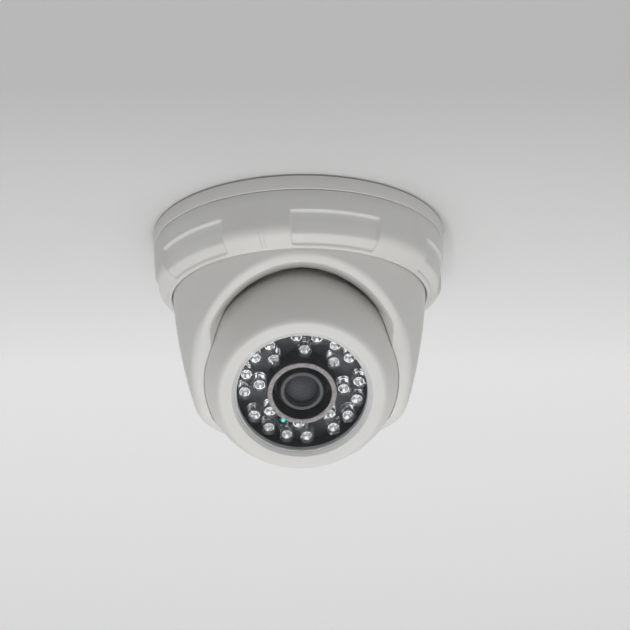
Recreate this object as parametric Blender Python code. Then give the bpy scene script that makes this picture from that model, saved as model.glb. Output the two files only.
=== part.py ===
"""Ceiling dome camera: twist-off cover ring, panning hood and a tilting camera ball.

Metres, +Z up.  The origin is the centre of the face that meets the ceiling, the camera
hangs towards -Z, and the hood opens towards -Y.
"""

import math

import bmesh
import bpy
from mathutils import Matrix, Vector

# Fits shared by neighbouring pieces
SEAT_GAP = 0.0003
SLIDE_GAP = 0.0004

# Base plate against the ceiling
BASE_RIM_HEIGHT = 0.0056
BASE_PLATE_THICKNESS = 0.0030
CABLE_HOLE_RADIUS = 0.0090
CABLE_HOLE_OFFSET = 0.0200
SPIGOT_WALL = 0.0022
SCREW_HOLE_RADIUS = 0.0022
SCREW_CIRCLE_RADIUS = 0.0320
SCREW_BOSS_RADIUS = 0.0048
SCREW_BOSS_HEIGHT = 0.0030
SCREW_HOLE_COUNT = 3

# Cover ring round the base
RING_SETBACK = 0.00025
RING_LIP_WIDTH = 0.00675
RING_DRAFT = 0.00025
RING_WALL = 0.0022
RING_BOTTOM_Z = -0.0265
RING_CORNER_RADIUS = 0.0055
RING_CORNER_SWEEP = math.radians(50)
RING_CHAMFER_HEIGHT = 0.0031
RING_LIP_ROUND = 0.0004
RING_SHOULDER_WIDTH = 0.0026

# Finger scoops sunk into the ring, in two facing groups of three
SCOOP_SPAN = math.radians(36)
SCOOP_PITCH = math.radians(64.4)
SCOOP_FIRST_ANGLE = math.radians(13.6)
SCOOP_GROUP_SIZE = 3
SCOOP_GROUP_COUNT = 2
SCOOP_HEIGHT = 0.0127
SCOOP_DEPTH = 0.0011
SCOOP_LEDGE_DROP = 0.0004
SCOOP_FOOT_DEPTH = 0.0019
SCOOP_FOOT_HEIGHT = 0.0040
SCOOP_HEEL_WIDTH = 0.0016
SCOOP_HEEL_HEIGHT = 0.00165

# Bayonet lugs between ring and base
LUG_COUNT = 3
LUG_FIRST_ANGLE = math.radians(10)
LUG_SPAN = math.radians(24)
LUG_HEIGHT = 0.0022
LUG_REACH = 0.0016
LUG_DROP = 0.0008

# Hood round the ball
FLANGE_THICKNESS = 0.0022
FLANGE_WIDTH = 0.0022
BRAKE_THICKNESS = 0.0012
HOOD_REACH = 0.00995
HOOD_BULGE = 0.0007
HOOD_WIDEST_Z = -0.0077
HOOD_HALF_HEIGHT = 0.1063
HOOD_WALL = 0.0023
HOOD_COLLAR_LENGTH = 0.0035
HOOD_RIM_DROP = 0.0182
ARCH_MARGIN = 0.00165
ARCH_PITCH = math.radians(48.6)
ARCH_CORNER_RADIUS = 0.0100
CLAMP_SCREW_COUNT = 3
CLAMP_BOSS_RADIUS = 0.0030
CLAMP_BOSS_HEIGHT = 0.0070
CLAMP_PILOT_DEPTH = 0.0056
CLAMP_SCREW_BITE = 0.0049

# Clamp that keeps the ball in its socket
CLAMP_THICKNESS = 0.0022
CLAMP_DROP = 0.0042
CLAMP_BORE_MARGIN = 0.0007
CLAMP_SEAT_RADIUS = 0.0262
CLAMP_SEAT_WIDTH = 0.0046
CLAMP_WALL = 0.0022
CLAMP_RELIEF = 0.0080
CLAMP_SLOT_WIDTH = 0.0130
CLAMP_SLOT_REACH = 0.0320

# Camera ball
BALL_CENTRE_Z = -0.0538
BALL_SHOULDER = 0.00815
BALL_WALL = 0.0022
BALL_PITCH = math.radians(50.4)
BEZEL_WIDTH = 0.0037
BEZEL_EDGE_WIDTH = 0.00233
BEZEL_ROUND = 0.0018
BEZEL_ROUND_REACH = 0.62
BEZEL_ROUND_FALL = 0.28
BEZEL_MOUTH_STEP = 0.0020
BEZEL_LEDGE_THICKNESS = 0.0016
WINDOW_SETBACK = 0.0002
WINDOW_THICKNESS = 0.0010
SEAL_THICKNESS = 0.0004
SEAM_DEPTH = 0.0200
SEAM_SPIGOT_LENGTH = 0.0030
SEAM_SPIGOT_WALL = 0.0014
GROMMET_HOLE_RADIUS = 0.0045
GROMMET_BORE_RADIUS = 0.0022
GROMMET_FLANGE_WIDTH = 0.0020
GROMMET_FLANGE_THICKNESS = 0.0014

# Lamp board and what stands on it
BOARD_THICKNESS = 0.0012
LAMP_BOARD_EDGE = 0.0023
LAMP_BOARD_HOLE_MARGIN = 0.0015
CARRIER_MARGIN = 0.0011
CARRIER_WIDTH = 0.0053
LED_LENGTH = 0.0082
LED_RADIUS = 0.0025
LED_FLANGE_RADIUS = 0.0028
LED_FLANGE_THICKNESS = 0.0010
LED_MARGIN = 0.0004
LED_ROW_SPACING = 0.0056
LAMP_CLEARANCE = 0.0022
OUTER_LED_CIRCLE = 0.0212
OUTER_LED_GROUPS = 4
OUTER_LEDS_PER_GROUP = 4
OUTER_LED_FIRST_ANGLE = math.radians(64.9)
OUTER_LED_STEP = math.radians(20.4)
INNER_LED_COUNT = 8
INNER_LED_FIRST_ANGLE = math.radians(86.5)
LIGHT_SENSOR_ANGLE = math.radians(-116.5)
LIGHT_SENSOR_RADIUS = 0.0021
LIGHT_SENSOR_LENGTH = 0.0060
FOAM_GAP = 0.00005
FOAM_WALL = 0.00175
BOARD_SCREW_COUNT = 3
BOARD_SCREW_INSET = 0.0030
BOARD_SCREW_RADIUS = 0.0012
BOARD_SCREW_HEAD_RADIUS = 0.0022
BOARD_SCREW_HEAD_HEIGHT = 0.0014
BOARD_SCREW_CROWN = 0.7
BOARD_SCREW_BITE = 0.0022

# Lens and image-sensor board
SENSOR_BOARD_EDGE = 0.0013
BOARD_SPACING = 0.0152
STANDOFF_COUNT = 3
STANDOFF_RADIUS = 0.0022
STANDOFF_CIRCLE = 0.0165
HOLDER_FOOT_RADIUS = 0.0098
HOLDER_FOOT_HEIGHT = 0.0024
HOLDER_WALL = 0.0015
LENS_FOCUS_GAP = 0.0011
LENS_THREAD_RADIUS = 0.0060
LENS_HEAD_RADIUS = 0.0080
LENS_FRONT_SETBACK = 0.0021
LENS_HEAD_LENGTH = 0.0122
LENS_TAIL_LENGTH = 0.0070
LENS_GLASS_RADIUS = 0.0058
LENS_GLASS_THICKNESS = 0.0010
LENS_GLASS_CROWN = 0.0014
LENS_CUP_DEPTH = 0.0021
LENS_CUP_RADIUS = 0.0068
LENS_BORE_RADIUS = 0.0032
CHIP_SIZE = 0.0072
CHIP_THICKNESS = 0.0010

# Facets round a full turn
SHELL_STEPS = 48
RING_STEPS = 32
SMALL_STEPS = 20
SCREW_STEPS = 8
LED_STEPS = 8
SCOOP_STEPS = 8
LUG_STEPS = 6
STANDOFF_STEPS = 6
HOOD_ROWS = 8

# Points along an arc of a profile
RING_CORNER_POINTS = 6
SOCKET_POINTS = 6
ARCH_CORNER_POINTS = 5
CLAMP_SEAT_POINTS = 4
FRONT_SHELL_POINTS = 9
FRONT_CAVITY_POINTS = 6
REAR_SHELL_POINTS = 6
REAR_CAVITY_POINTS = 4
LED_NOSE_POINTS = 3
LENS_CROWN_POINTS = 5

# Radii from the lamps outwards
INNER_LED_CIRCLE = OUTER_LED_CIRCLE - LED_ROW_SPACING
FOAM_OUTER_RADIUS = INNER_LED_CIRCLE - LED_FLANGE_RADIUS - FOAM_GAP
FOAM_INNER_RADIUS = FOAM_OUTER_RADIUS - FOAM_WALL
WINDOW_SIGHT_RADIUS = OUTER_LED_CIRCLE + LED_RADIUS + LED_MARGIN
CARRIER_INNER_RADIUS = WINDOW_SIGHT_RADIUS + CARRIER_MARGIN
CARRIER_OUTER_RADIUS = CARRIER_INNER_RADIUS + CARRIER_WIDTH
BOARD_SCREW_CIRCLE = CARRIER_INNER_RADIUS + BOARD_SCREW_INSET
LAMP_BOARD_RADIUS = BOARD_SCREW_CIRCLE + LAMP_BOARD_EDGE
LAMP_BOARD_HOLE_RADIUS = LENS_HEAD_RADIUS + LAMP_BOARD_HOLE_MARGIN
SENSOR_BOARD_RADIUS = STANDOFF_CIRCLE + STANDOFF_RADIUS + SENSOR_BOARD_EDGE
BEZEL_MOUTH_RADIUS = WINDOW_SIGHT_RADIUS + BEZEL_MOUTH_STEP
WINDOW_RADIUS = BEZEL_MOUTH_RADIUS - SEAT_GAP
BEZEL_RADIUS = BEZEL_MOUTH_RADIUS + BEZEL_WIDTH
BEZEL_EDGE_RADIUS = BEZEL_RADIUS + BEZEL_EDGE_WIDTH
BALL_RADIUS = BEZEL_RADIUS + BALL_SHOULDER
BALL_CAVITY_RADIUS = BALL_RADIUS - BALL_WALL
SOCKET_RADIUS = BALL_RADIUS + SLIDE_GAP
HOOD_RADIUS = SOCKET_RADIUS + HOOD_REACH
NECK_RADIUS = HOOD_RADIUS - HOOD_BULGE
FLANGE_RADIUS = NECK_RADIUS + FLANGE_WIDTH
CAVITY_RADIUS = NECK_RADIUS - HOOD_WALL
BOSS_CIRCLE = CAVITY_RADIUS - CLAMP_BOSS_RADIUS - SEAT_GAP
RING_BORE_RADIUS = NECK_RADIUS + SLIDE_GAP
RING_TOP_RADIUS = RING_BORE_RADIUS + RING_LIP_WIDTH
BASE_RADIUS = RING_TOP_RADIUS + RING_SETBACK
SPIGOT_RADIUS = RING_TOP_RADIUS - RING_WALL - SLIDE_GAP - LUG_REACH

# Levels from the ceiling down
RING_TOP_Z = -(BASE_RIM_HEIGHT + SEAT_GAP)
RING_LUG_TOP_Z = RING_TOP_Z - LUG_DROP
BASE_LUG_TOP_Z = RING_LUG_TOP_Z - LUG_HEIGHT - SEAT_GAP
RING_CORNER_Z = RING_BOTTOM_Z + RING_CORNER_RADIUS * math.sin(RING_CORNER_SWEEP) + RING_CHAMFER_HEIGHT
SCOOP_TOP_Z = RING_BOTTOM_Z + SCOOP_HEIGHT
SHOULDER_Z = RING_CORNER_Z - SEAT_GAP
FLANGE_BOTTOM_Z = SHOULDER_Z + SEAT_GAP
FLANGE_TOP_Z = FLANGE_BOTTOM_Z + FLANGE_THICKNESS
BRAKE_BOTTOM_Z = FLANGE_TOP_Z + SEAT_GAP
SPIGOT_BOTTOM_Z = BRAKE_BOTTOM_Z + BRAKE_THICKNESS + SEAT_GAP
CLAMP_TOP_Z = FLANGE_TOP_Z - CLAMP_DROP
CLAMP_BOTTOM_Z = CLAMP_TOP_Z - CLAMP_THICKNESS
BALL_AT_CLAMP = SOCKET_RADIUS ** 2 - (CLAMP_BOTTOM_Z - BALL_CENTRE_Z) ** 2
CLAMP_BORE_RADIUS = math.sqrt(max(BALL_AT_CLAMP, 0.0)) + CLAMP_BORE_MARGIN
ARCH_TOP_Z = RING_BOTTOM_Z - ARCH_MARGIN
HOOD_CONE_TOP_Z = RING_BOTTOM_Z - HOOD_COLLAR_LENGTH
HOOD_RIM_Z = BALL_CENTRE_Z - HOOD_RIM_DROP

# Depths along the camera's line of sight, from the ball's centre
BEZEL_EDGE_D = math.sqrt(BALL_RADIUS ** 2 - BEZEL_EDGE_RADIUS ** 2)
BEZEL_FACE = BEZEL_EDGE_D + BEZEL_ROUND
WINDOW_FRONT_D = BEZEL_FACE - WINDOW_SETBACK
WINDOW_BACK_D = WINDOW_FRONT_D - WINDOW_THICKNESS
SEAL_FRONT_D = WINDOW_BACK_D - SEAT_GAP
SEAL_BACK_D = SEAL_FRONT_D - SEAL_THICKNESS
WINDOW_LEDGE_D = SEAL_BACK_D - SEAT_GAP
SHELL_INNER_FACE_D = WINDOW_LEDGE_D - BEZEL_LEDGE_THICKNESS
CARRIER_FRONT_D = SHELL_INNER_FACE_D - SEAT_GAP
LAMP_TIP_D = WINDOW_BACK_D - LAMP_CLEARANCE
LAMP_SEAT_D = LAMP_TIP_D - LED_LENGTH
LAMP_BOARD_FRONT_D = LAMP_SEAT_D - SEAT_GAP
LAMP_BOARD_BACK_D = LAMP_BOARD_FRONT_D - BOARD_THICKNESS
SENSOR_BOARD_FRONT_D = LAMP_BOARD_BACK_D - BOARD_SPACING
SENSOR_BOARD_BACK_D = SENSOR_BOARD_FRONT_D - BOARD_THICKNESS
LENS_FRONT_D = WINDOW_BACK_D - LENS_FRONT_SETBACK
LENS_HEAD_BACK_D = LENS_FRONT_D - LENS_HEAD_LENGTH
HOLDER_FRONT_D = LENS_HEAD_BACK_D - LENS_FOCUS_GAP

WHITE_PLASTIC = (0.80, 0.79, 0.76, 1.0)
BLACK_PLASTIC = (0.03, 0.03, 0.03, 1.0)
SMOKED_GLASS = (0.10, 0.10, 0.11, 1.0)
CLEAR_RESIN = (0.62, 0.62, 0.64, 1.0)
BOARD_BLACK = (0.035, 0.04, 0.04, 1.0)
BOARD_GREEN = (0.02, 0.16, 0.07, 1.0)
FOAM_GREY = (0.33, 0.29, 0.28, 1.0)
RUBBER_BLACK = (0.04, 0.04, 0.04, 1.0)
SILICONE_GREY = (0.50, 0.51, 0.53, 1.0)
STEEL = (0.62, 0.62, 0.62, 1.0)


def clear_scene():
    for obj in list(bpy.data.objects):
        bpy.data.objects.remove(obj, do_unlink=True)


def plain_material(name, colour, roughness, metallic=0.0):
    material = bpy.data.materials.new(name)
    material.use_nodes = True
    shader = material.node_tree.nodes["Principled BSDF"]
    shader.inputs["Base Color"].default_value = colour
    shader.inputs["Roughness"].default_value = roughness
    shader.inputs["Metallic"].default_value = metallic
    return material


def arc_points(centre, radius, start, end, count):
    """Points (r, z) along an arc, both ends included."""
    points = []
    for index in range(count):
        angle = start + (end - start) * index / (count - 1)
        points.append((centre[0] + radius * math.cos(angle), centre[1] + radius * math.sin(angle)))
    return points


def turned(profile, steps, sweep=2 * math.pi, start=0.0):
    """Spin a closed (r, z) profile round Z; a part turn gets flat end caps."""
    mesh = bmesh.new()
    turn = Matrix.Rotation(start, 4, "Z")
    verts = [mesh.verts.new(turn @ Vector((r, 0.0, z))) for r, z in profile]
    edges = [mesh.edges.new((verts[i - 1], verts[i])) for i in range(len(verts))]
    whole = abs(sweep - 2 * math.pi) < 1e-9
    bmesh.ops.spin(mesh, geom=verts + edges, cent=(0, 0, 0), axis=(0, 0, 1), angle=sweep,
                   steps=steps, use_merge=whole)
    bmesh.ops.remove_doubles(mesh, verts=mesh.verts, dist=1e-7)
    if not whole:
        bmesh.ops.holes_fill(mesh, edges=[edge for edge in mesh.edges if edge.is_boundary])
    bmesh.ops.recalc_face_normals(mesh, faces=mesh.faces)
    return mesh


def cylinder(radius, bottom, top, steps, place=(0.0, 0.0)):
    mesh = bmesh.new()
    bmesh.ops.create_cone(mesh, cap_ends=True, segments=steps, radius1=radius, radius2=radius,
                          depth=top - bottom, matrix=Matrix.Rotation(math.pi / steps, 4, "Z"))
    bmesh.ops.translate(mesh, verts=mesh.verts, vec=(place[0], place[1], (top + bottom) / 2))
    return mesh


def turned_solid(profile, steps):
    """Spin an open (r, z) profile whose two ends lie on the axis."""
    mesh = bmesh.new()
    verts = [mesh.verts.new((r, 0.0, z)) for r, z in profile]
    edges = [mesh.edges.new(pair) for pair in zip(verts, verts[1:])]
    bmesh.ops.spin(mesh, geom=verts + edges, cent=(0, 0, 0), axis=(0, 0, 1), angle=2 * math.pi,
                   steps=steps, use_merge=True)
    bmesh.ops.remove_doubles(mesh, verts=mesh.verts, dist=1e-7)
    bmesh.ops.recalc_face_normals(mesh, faces=mesh.faces)
    return mesh


def extruded(outline, half_width):
    """Extrude a closed (y, z) outline both ways along X."""
    mesh = bmesh.new()
    face = mesh.faces.new([mesh.verts.new((-half_width, y, z)) for y, z in outline])
    grown = bmesh.ops.extrude_face_region(mesh, geom=[face])
    moved = [item for item in grown["geom"] if isinstance(item, bmesh.types.BMVert)]
    bmesh.ops.translate(mesh, verts=moved, vec=(2 * half_width, 0, 0))
    bmesh.ops.recalc_face_normals(mesh, faces=mesh.faces)
    return mesh


def add_object(name, mesh, material, parent=None):
    data = bpy.data.meshes.new(name)
    mesh.to_mesh(data)
    mesh.free()
    data.materials.append(material)
    data.shade_smooth()
    data.set_sharp_from_angle(angle=math.radians(30))
    obj = bpy.data.objects.new(name, data)
    bpy.context.scene.collection.objects.link(obj)
    if parent is not None:
        obj.parent = parent
    return obj


def combine(target, mesh, operation):
    """Join a shape to an object or cut it out, with the shape in the object's own frame."""
    data = bpy.data.meshes.new("tool")
    mesh.to_mesh(data)
    mesh.free()
    tool = bpy.data.objects.new("tool", data)
    bpy.context.scene.collection.objects.link(tool)
    tool.parent = target.parent
    modifier = target.modifiers.new(operation.lower(), "BOOLEAN")
    modifier.operation = operation
    modifier.object = tool
    bpy.context.view_layer.update()
    with bpy.context.temp_override(object=target, active_object=target):
        bpy.ops.object.modifier_apply(modifier=modifier.name)
    bpy.data.objects.remove(tool, do_unlink=True)
    bpy.data.meshes.remove(data)


def axis_empty(name, location, rotation=(0.0, 0.0, 0.0), parent=None):
    empty = bpy.data.objects.new(name, None)
    empty.location = location
    empty.rotation_euler = rotation
    empty.parent = parent
    bpy.context.scene.collection.objects.link(empty)
    return empty


def ring_of_places(count, radius, first_angle):
    places = []
    for index in range(count):
        angle = first_angle + 2 * math.pi * index / count
        places.append((radius * math.cos(angle), radius * math.sin(angle)))
    return places


def sector(inner, outer, bottom, top, span, middle, steps):
    profile = [(inner, top), (outer, top), (outer, bottom), (inner, bottom)]
    return turned(profile, steps, span, middle - span / 2)


def hood_radius_at(z):
    share = (z - HOOD_WIDEST_Z) / HOOD_HALF_HEIGHT
    return HOOD_RADIUS * math.sqrt(1 - share * share)


def build_base_plate(material):
    inner = SPIGOT_RADIUS - SPIGOT_WALL
    profile = [
        (0.0, 0.0),
        (BASE_RADIUS, 0.0),
        (BASE_RADIUS, -BASE_RIM_HEIGHT),
        (SPIGOT_RADIUS, -BASE_RIM_HEIGHT),
        (SPIGOT_RADIUS, SPIGOT_BOTTOM_Z),
        (inner, SPIGOT_BOTTOM_Z),
        (inner, -BASE_PLATE_THICKNESS),
        (0.0, -BASE_PLATE_THICKNESS),
    ]
    base = add_object("base_plate", turned_solid(profile, SHELL_STEPS), material)
    for index in range(LUG_COUNT):
        lug = sector(SPIGOT_RADIUS - SPIGOT_WALL / 2, SPIGOT_RADIUS + LUG_REACH,
                     BASE_LUG_TOP_Z - LUG_HEIGHT, BASE_LUG_TOP_Z, LUG_SPAN,
                     LUG_FIRST_ANGLE + 2 * math.pi * index / LUG_COUNT, LUG_STEPS)
        combine(base, lug, "UNION")
    for place in ring_of_places(SCREW_HOLE_COUNT, SCREW_CIRCLE_RADIUS, -math.pi / 2):
        boss = cylinder(SCREW_BOSS_RADIUS, -BASE_PLATE_THICKNESS - SCREW_BOSS_HEIGHT,
                        -BASE_PLATE_THICKNESS / 2, SMALL_STEPS, place)
        combine(base, boss, "UNION")
        hole = cylinder(SCREW_HOLE_RADIUS, -2 * BASE_PLATE_THICKNESS - SCREW_BOSS_HEIGHT,
                        BASE_PLATE_THICKNESS, SMALL_STEPS, place)
        combine(base, hole, "DIFFERENCE")
    cable_hole = cylinder(CABLE_HOLE_RADIUS, -2 * BASE_PLATE_THICKNESS, BASE_PLATE_THICKNESS,
                          SMALL_STEPS, (0.0, CABLE_HOLE_OFFSET))
    combine(base, cable_hole, "DIFFERENCE")
    return base


def ring_profile():
    wall_bottom = RING_TOP_RADIUS - RING_DRAFT
    corner_centre = (wall_bottom - RING_CORNER_RADIUS, RING_CORNER_Z)
    corner = arc_points(corner_centre, RING_CORNER_RADIUS, 0.0, -RING_CORNER_SWEEP,
                        RING_CORNER_POINTS)
    end_r, end_z = corner[-1]
    chamfer_run = (end_z - RING_BOTTOM_Z) * math.tan(RING_CORNER_SWEEP)
    return [
        (RING_TOP_RADIUS, RING_TOP_Z),
        *corner,
        (max(end_r - chamfer_run, RING_BORE_RADIUS + 2 * RING_LIP_ROUND), RING_BOTTOM_Z),
        (RING_BORE_RADIUS + RING_LIP_ROUND, RING_BOTTOM_Z),
        (RING_BORE_RADIUS, RING_BOTTOM_Z + RING_LIP_ROUND),
        (RING_BORE_RADIUS, SHOULDER_Z),
        (RING_BORE_RADIUS + RING_SHOULDER_WIDTH, SHOULDER_Z),
        (wall_bottom - RING_WALL, FLANGE_TOP_Z),
        (RING_TOP_RADIUS - RING_WALL, RING_TOP_Z),
    ]


def scoop_profile():
    """What one scoop takes away: ledge, sloping back, floor along the chamfer, upright heel."""
    wall = RING_TOP_RADIUS - RING_DRAFT
    outside = wall + SCOOP_DEPTH
    below = RING_BOTTOM_Z - SCOOP_DEPTH
    heel = RING_BORE_RADIUS + SCOOP_HEEL_WIDTH
    return [
        (outside, SCOOP_TOP_Z + SCOOP_LEDGE_DROP),
        (wall - SCOOP_DEPTH, SCOOP_TOP_Z - SCOOP_LEDGE_DROP),
        (wall - SCOOP_FOOT_DEPTH, RING_BOTTOM_Z + SCOOP_FOOT_HEIGHT),
        (heel, RING_BOTTOM_Z + SCOOP_HEEL_HEIGHT),
        (heel, below),
        (outside, below),
    ]


def scoop_angles():
    angles = []
    for group in range(SCOOP_GROUP_COUNT):
        for index in range(SCOOP_GROUP_SIZE):
            step = index - (SCOOP_GROUP_SIZE - 1) / 2
            turn = 2 * math.pi * group / SCOOP_GROUP_COUNT
            angles.append(SCOOP_FIRST_ANGLE + turn + step * SCOOP_PITCH - math.pi / 2)
    return angles


def build_cover_ring(material):
    ring = add_object("cover_ring", turned(ring_profile(), SHELL_STEPS), material)
    for angle in scoop_angles():
        scoop = turned(scoop_profile(), SCOOP_STEPS, SCOOP_SPAN, angle - SCOOP_SPAN / 2)
        combine(ring, scoop, "DIFFERENCE")
    wall = RING_TOP_RADIUS - RING_WALL
    for index in range(LUG_COUNT):
        middle = LUG_FIRST_ANGLE + 2 * math.pi * index / LUG_COUNT
        lug = sector(SPIGOT_RADIUS + SLIDE_GAP, wall + RING_WALL / 2, RING_LUG_TOP_Z - LUG_HEIGHT,
                     RING_LUG_TOP_Z, LUG_SPAN, middle, LUG_STEPS)
        combine(ring, lug, "UNION")
    return ring


def build_brake_ring(material):
    inner = SPIGOT_RADIUS - SPIGOT_WALL
    outer = min(SPIGOT_RADIUS, FLANGE_RADIUS)
    top = BRAKE_BOTTOM_Z + BRAKE_THICKNESS
    profile = [(inner, top), (outer, top), (outer, BRAKE_BOTTOM_Z), (inner, BRAKE_BOTTOM_Z)]
    return add_object("pan_brake_ring", turned(profile, RING_STEPS), material)


def hood_profile():
    neck_share = math.sqrt(1 - (NECK_RADIUS / HOOD_RADIUS) ** 2)
    neck_bottom = HOOD_WIDEST_Z - HOOD_HALF_HEIGHT * neck_share
    lowest = HOOD_RIM_Z - ARCH_CORNER_RADIUS / 4
    outer = []
    for index in range(HOOD_ROWS + 1):
        z = neck_bottom + (lowest - neck_bottom) * index / HOOD_ROWS
        outer.append((hood_radius_at(z), z))
    drop = (lowest - BALL_CENTRE_Z) / SOCKET_RADIUS
    socket = arc_points((0.0, BALL_CENTRE_Z), SOCKET_RADIUS, math.asin(drop), 0.0, SOCKET_POINTS)
    return [
        (CAVITY_RADIUS, FLANGE_TOP_Z),
        (FLANGE_RADIUS, FLANGE_TOP_Z),
        (FLANGE_RADIUS, FLANGE_BOTTOM_Z),
        (NECK_RADIUS, FLANGE_BOTTOM_Z),
        *outer,
        *socket,
        (CAVITY_RADIUS, HOOD_CONE_TOP_Z),
    ]


def arch_outline():
    """Side view (y, z) of what is cut away: a slope from the arch down to the level rim."""
    slope = Vector((math.sin(ARCH_PITCH), -math.cos(ARCH_PITCH)))
    top = Vector((-hood_radius_at(ARCH_TOP_Z), ARCH_TOP_Z))
    far = 2 * BASE_RADIUS
    corner = top + slope * ((HOOD_RIM_Z - top.y) / slope.y)
    turn = math.pi / 2 - ARCH_PITCH
    tangent = ARCH_CORNER_RADIUS * math.tan(turn / 2)
    centre = (corner.x + tangent, HOOD_RIM_Z + ARCH_CORNER_RADIUS)
    bend = arc_points(centre, ARCH_CORNER_RADIUS, -math.pi / 2 - turn, -math.pi / 2, ARCH_CORNER_POINTS)
    start = top - slope * far
    return [tuple(start), *bend, (far, HOOD_RIM_Z), (far, -2 * far), (start.x, -2 * far)]


def build_hood(material, pan_axis):
    hood = add_object("hood", turned(hood_profile(), SHELL_STEPS), material, pan_axis)
    top = CLAMP_BOTTOM_Z - SEAT_GAP
    inner = BOSS_CIRCLE - CLAMP_BOSS_RADIUS
    reach = CAVITY_RADIUS + HOOD_WALL / 2 - inner
    for x, y in ring_of_places(CLAMP_SCREW_COUNT, BOSS_CIRCLE, math.pi / 2):
        boss = extruded([(-CLAMP_BOSS_RADIUS, top), (CLAMP_BOSS_RADIUS, top),
                         (CLAMP_BOSS_RADIUS, top - CLAMP_BOSS_HEIGHT),
                         (-CLAMP_BOSS_RADIUS, top - CLAMP_BOSS_HEIGHT)], reach / 2)
        bmesh.ops.translate(boss, verts=boss.verts, vec=(inner + reach / 2, 0, 0))
        bmesh.ops.rotate(boss, verts=boss.verts, cent=(0, 0, 0),
                         matrix=Matrix.Rotation(math.atan2(y, x), 3, "Z"))
        combine(hood, boss, "UNION")
        pilot = cylinder(BOARD_SCREW_RADIUS + SEAT_GAP, top - CLAMP_PILOT_DEPTH,
                         top + CLAMP_THICKNESS, SCREW_STEPS, (x, y))
        combine(hood, pilot, "DIFFERENCE")
    combine(hood, extruded(arch_outline(), 2 * BASE_RADIUS), "DIFFERENCE")
    return hood


def build_ball_clamp(material, screw_material, pan_axis):
    """A plate round the ball's crown, with a cable slot and a seat skirt behind, out of sight."""
    seat = SOCKET_RADIUS
    start = math.acos(CLAMP_SEAT_RADIUS / seat)
    end = math.acos((CLAMP_SEAT_RADIUS + CLAMP_SEAT_WIDTH) / seat)
    seat_arc = arc_points((0.0, BALL_CENTRE_Z), seat, start, end, CLAMP_SEAT_POINTS)
    skirt = seat_arc[-1][0] + CLAMP_WALL
    profile = [
        (CLAMP_BORE_RADIUS, CLAMP_TOP_Z),
        (CAVITY_RADIUS - SEAT_GAP, CLAMP_TOP_Z),
        (CAVITY_RADIUS - SEAT_GAP, CLAMP_BOTTOM_Z),
        (skirt, CLAMP_BOTTOM_Z),
        (skirt, seat_arc[-1][1]),
        *reversed(seat_arc),
        (CLAMP_SEAT_RADIUS, CLAMP_BOTTOM_Z),
        (CLAMP_BORE_RADIUS, CLAMP_BOTTOM_Z),
    ]
    clamp = add_object("ball_clamp", turned(profile, RING_STEPS), material, pan_axis)
    skirt_top = CLAMP_BOTTOM_Z - SEAT_GAP
    skirt_foot = seat_arc[-1][1] - CLAMP_WALL
    front_skirt = [(-CAVITY_RADIUS, skirt_top), (-CLAMP_RELIEF, skirt_top),
                   (-CLAMP_RELIEF, skirt_foot), (-CAVITY_RADIUS, skirt_foot)]
    combine(clamp, extruded(front_skirt, CAVITY_RADIUS), "DIFFERENCE")
    above = CLAMP_TOP_Z + CLAMP_THICKNESS
    below = CLAMP_BOTTOM_Z - CLAMP_THICKNESS / 2
    cable_slot = [(0.0, above), (CLAMP_SLOT_REACH, above), (CLAMP_SLOT_REACH, below), (0.0, below)]
    combine(clamp, extruded(cable_slot, CLAMP_SLOT_WIDTH / 2), "DIFFERENCE")
    for index, place in enumerate(ring_of_places(CLAMP_SCREW_COUNT, BOSS_CIRCLE, math.pi / 2)):
        hole = cylinder(BOARD_SCREW_RADIUS + SEAT_GAP, CLAMP_BOTTOM_Z - CLAMP_THICKNESS,
                        CLAMP_TOP_Z + CLAMP_THICKNESS, SMALL_STEPS, place)
        combine(clamp, hole, "DIFFERENCE")
        under = CLAMP_TOP_Z + SEAT_GAP
        tip = CLAMP_BOTTOM_Z - SEAT_GAP - CLAMP_SCREW_BITE
        screw = screw_mesh(under, under + BOARD_SCREW_HEAD_HEIGHT, tip, place)
        add_object(f"clamp_screw_{index + 1}", screw, screw_material, pan_axis)
    return clamp


def screw_mesh(under_head, head_end, tip, place):
    """A pan-head screw along Z, its head on the far side of under_head from its tip."""
    profile = [
        (0.0, tip),
        (BOARD_SCREW_RADIUS, tip),
        (BOARD_SCREW_RADIUS, under_head),
        (BOARD_SCREW_HEAD_RADIUS, under_head),
        (BOARD_SCREW_HEAD_RADIUS, (under_head + head_end) / 2),
        (BOARD_SCREW_HEAD_RADIUS * BOARD_SCREW_CROWN, head_end),
        (0.0, head_end),
    ]
    mesh = turned_solid(profile, SCREW_STEPS)
    bmesh.ops.translate(mesh, verts=mesh.verts, vec=(place[0], place[1], 0.0))
    return mesh


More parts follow.
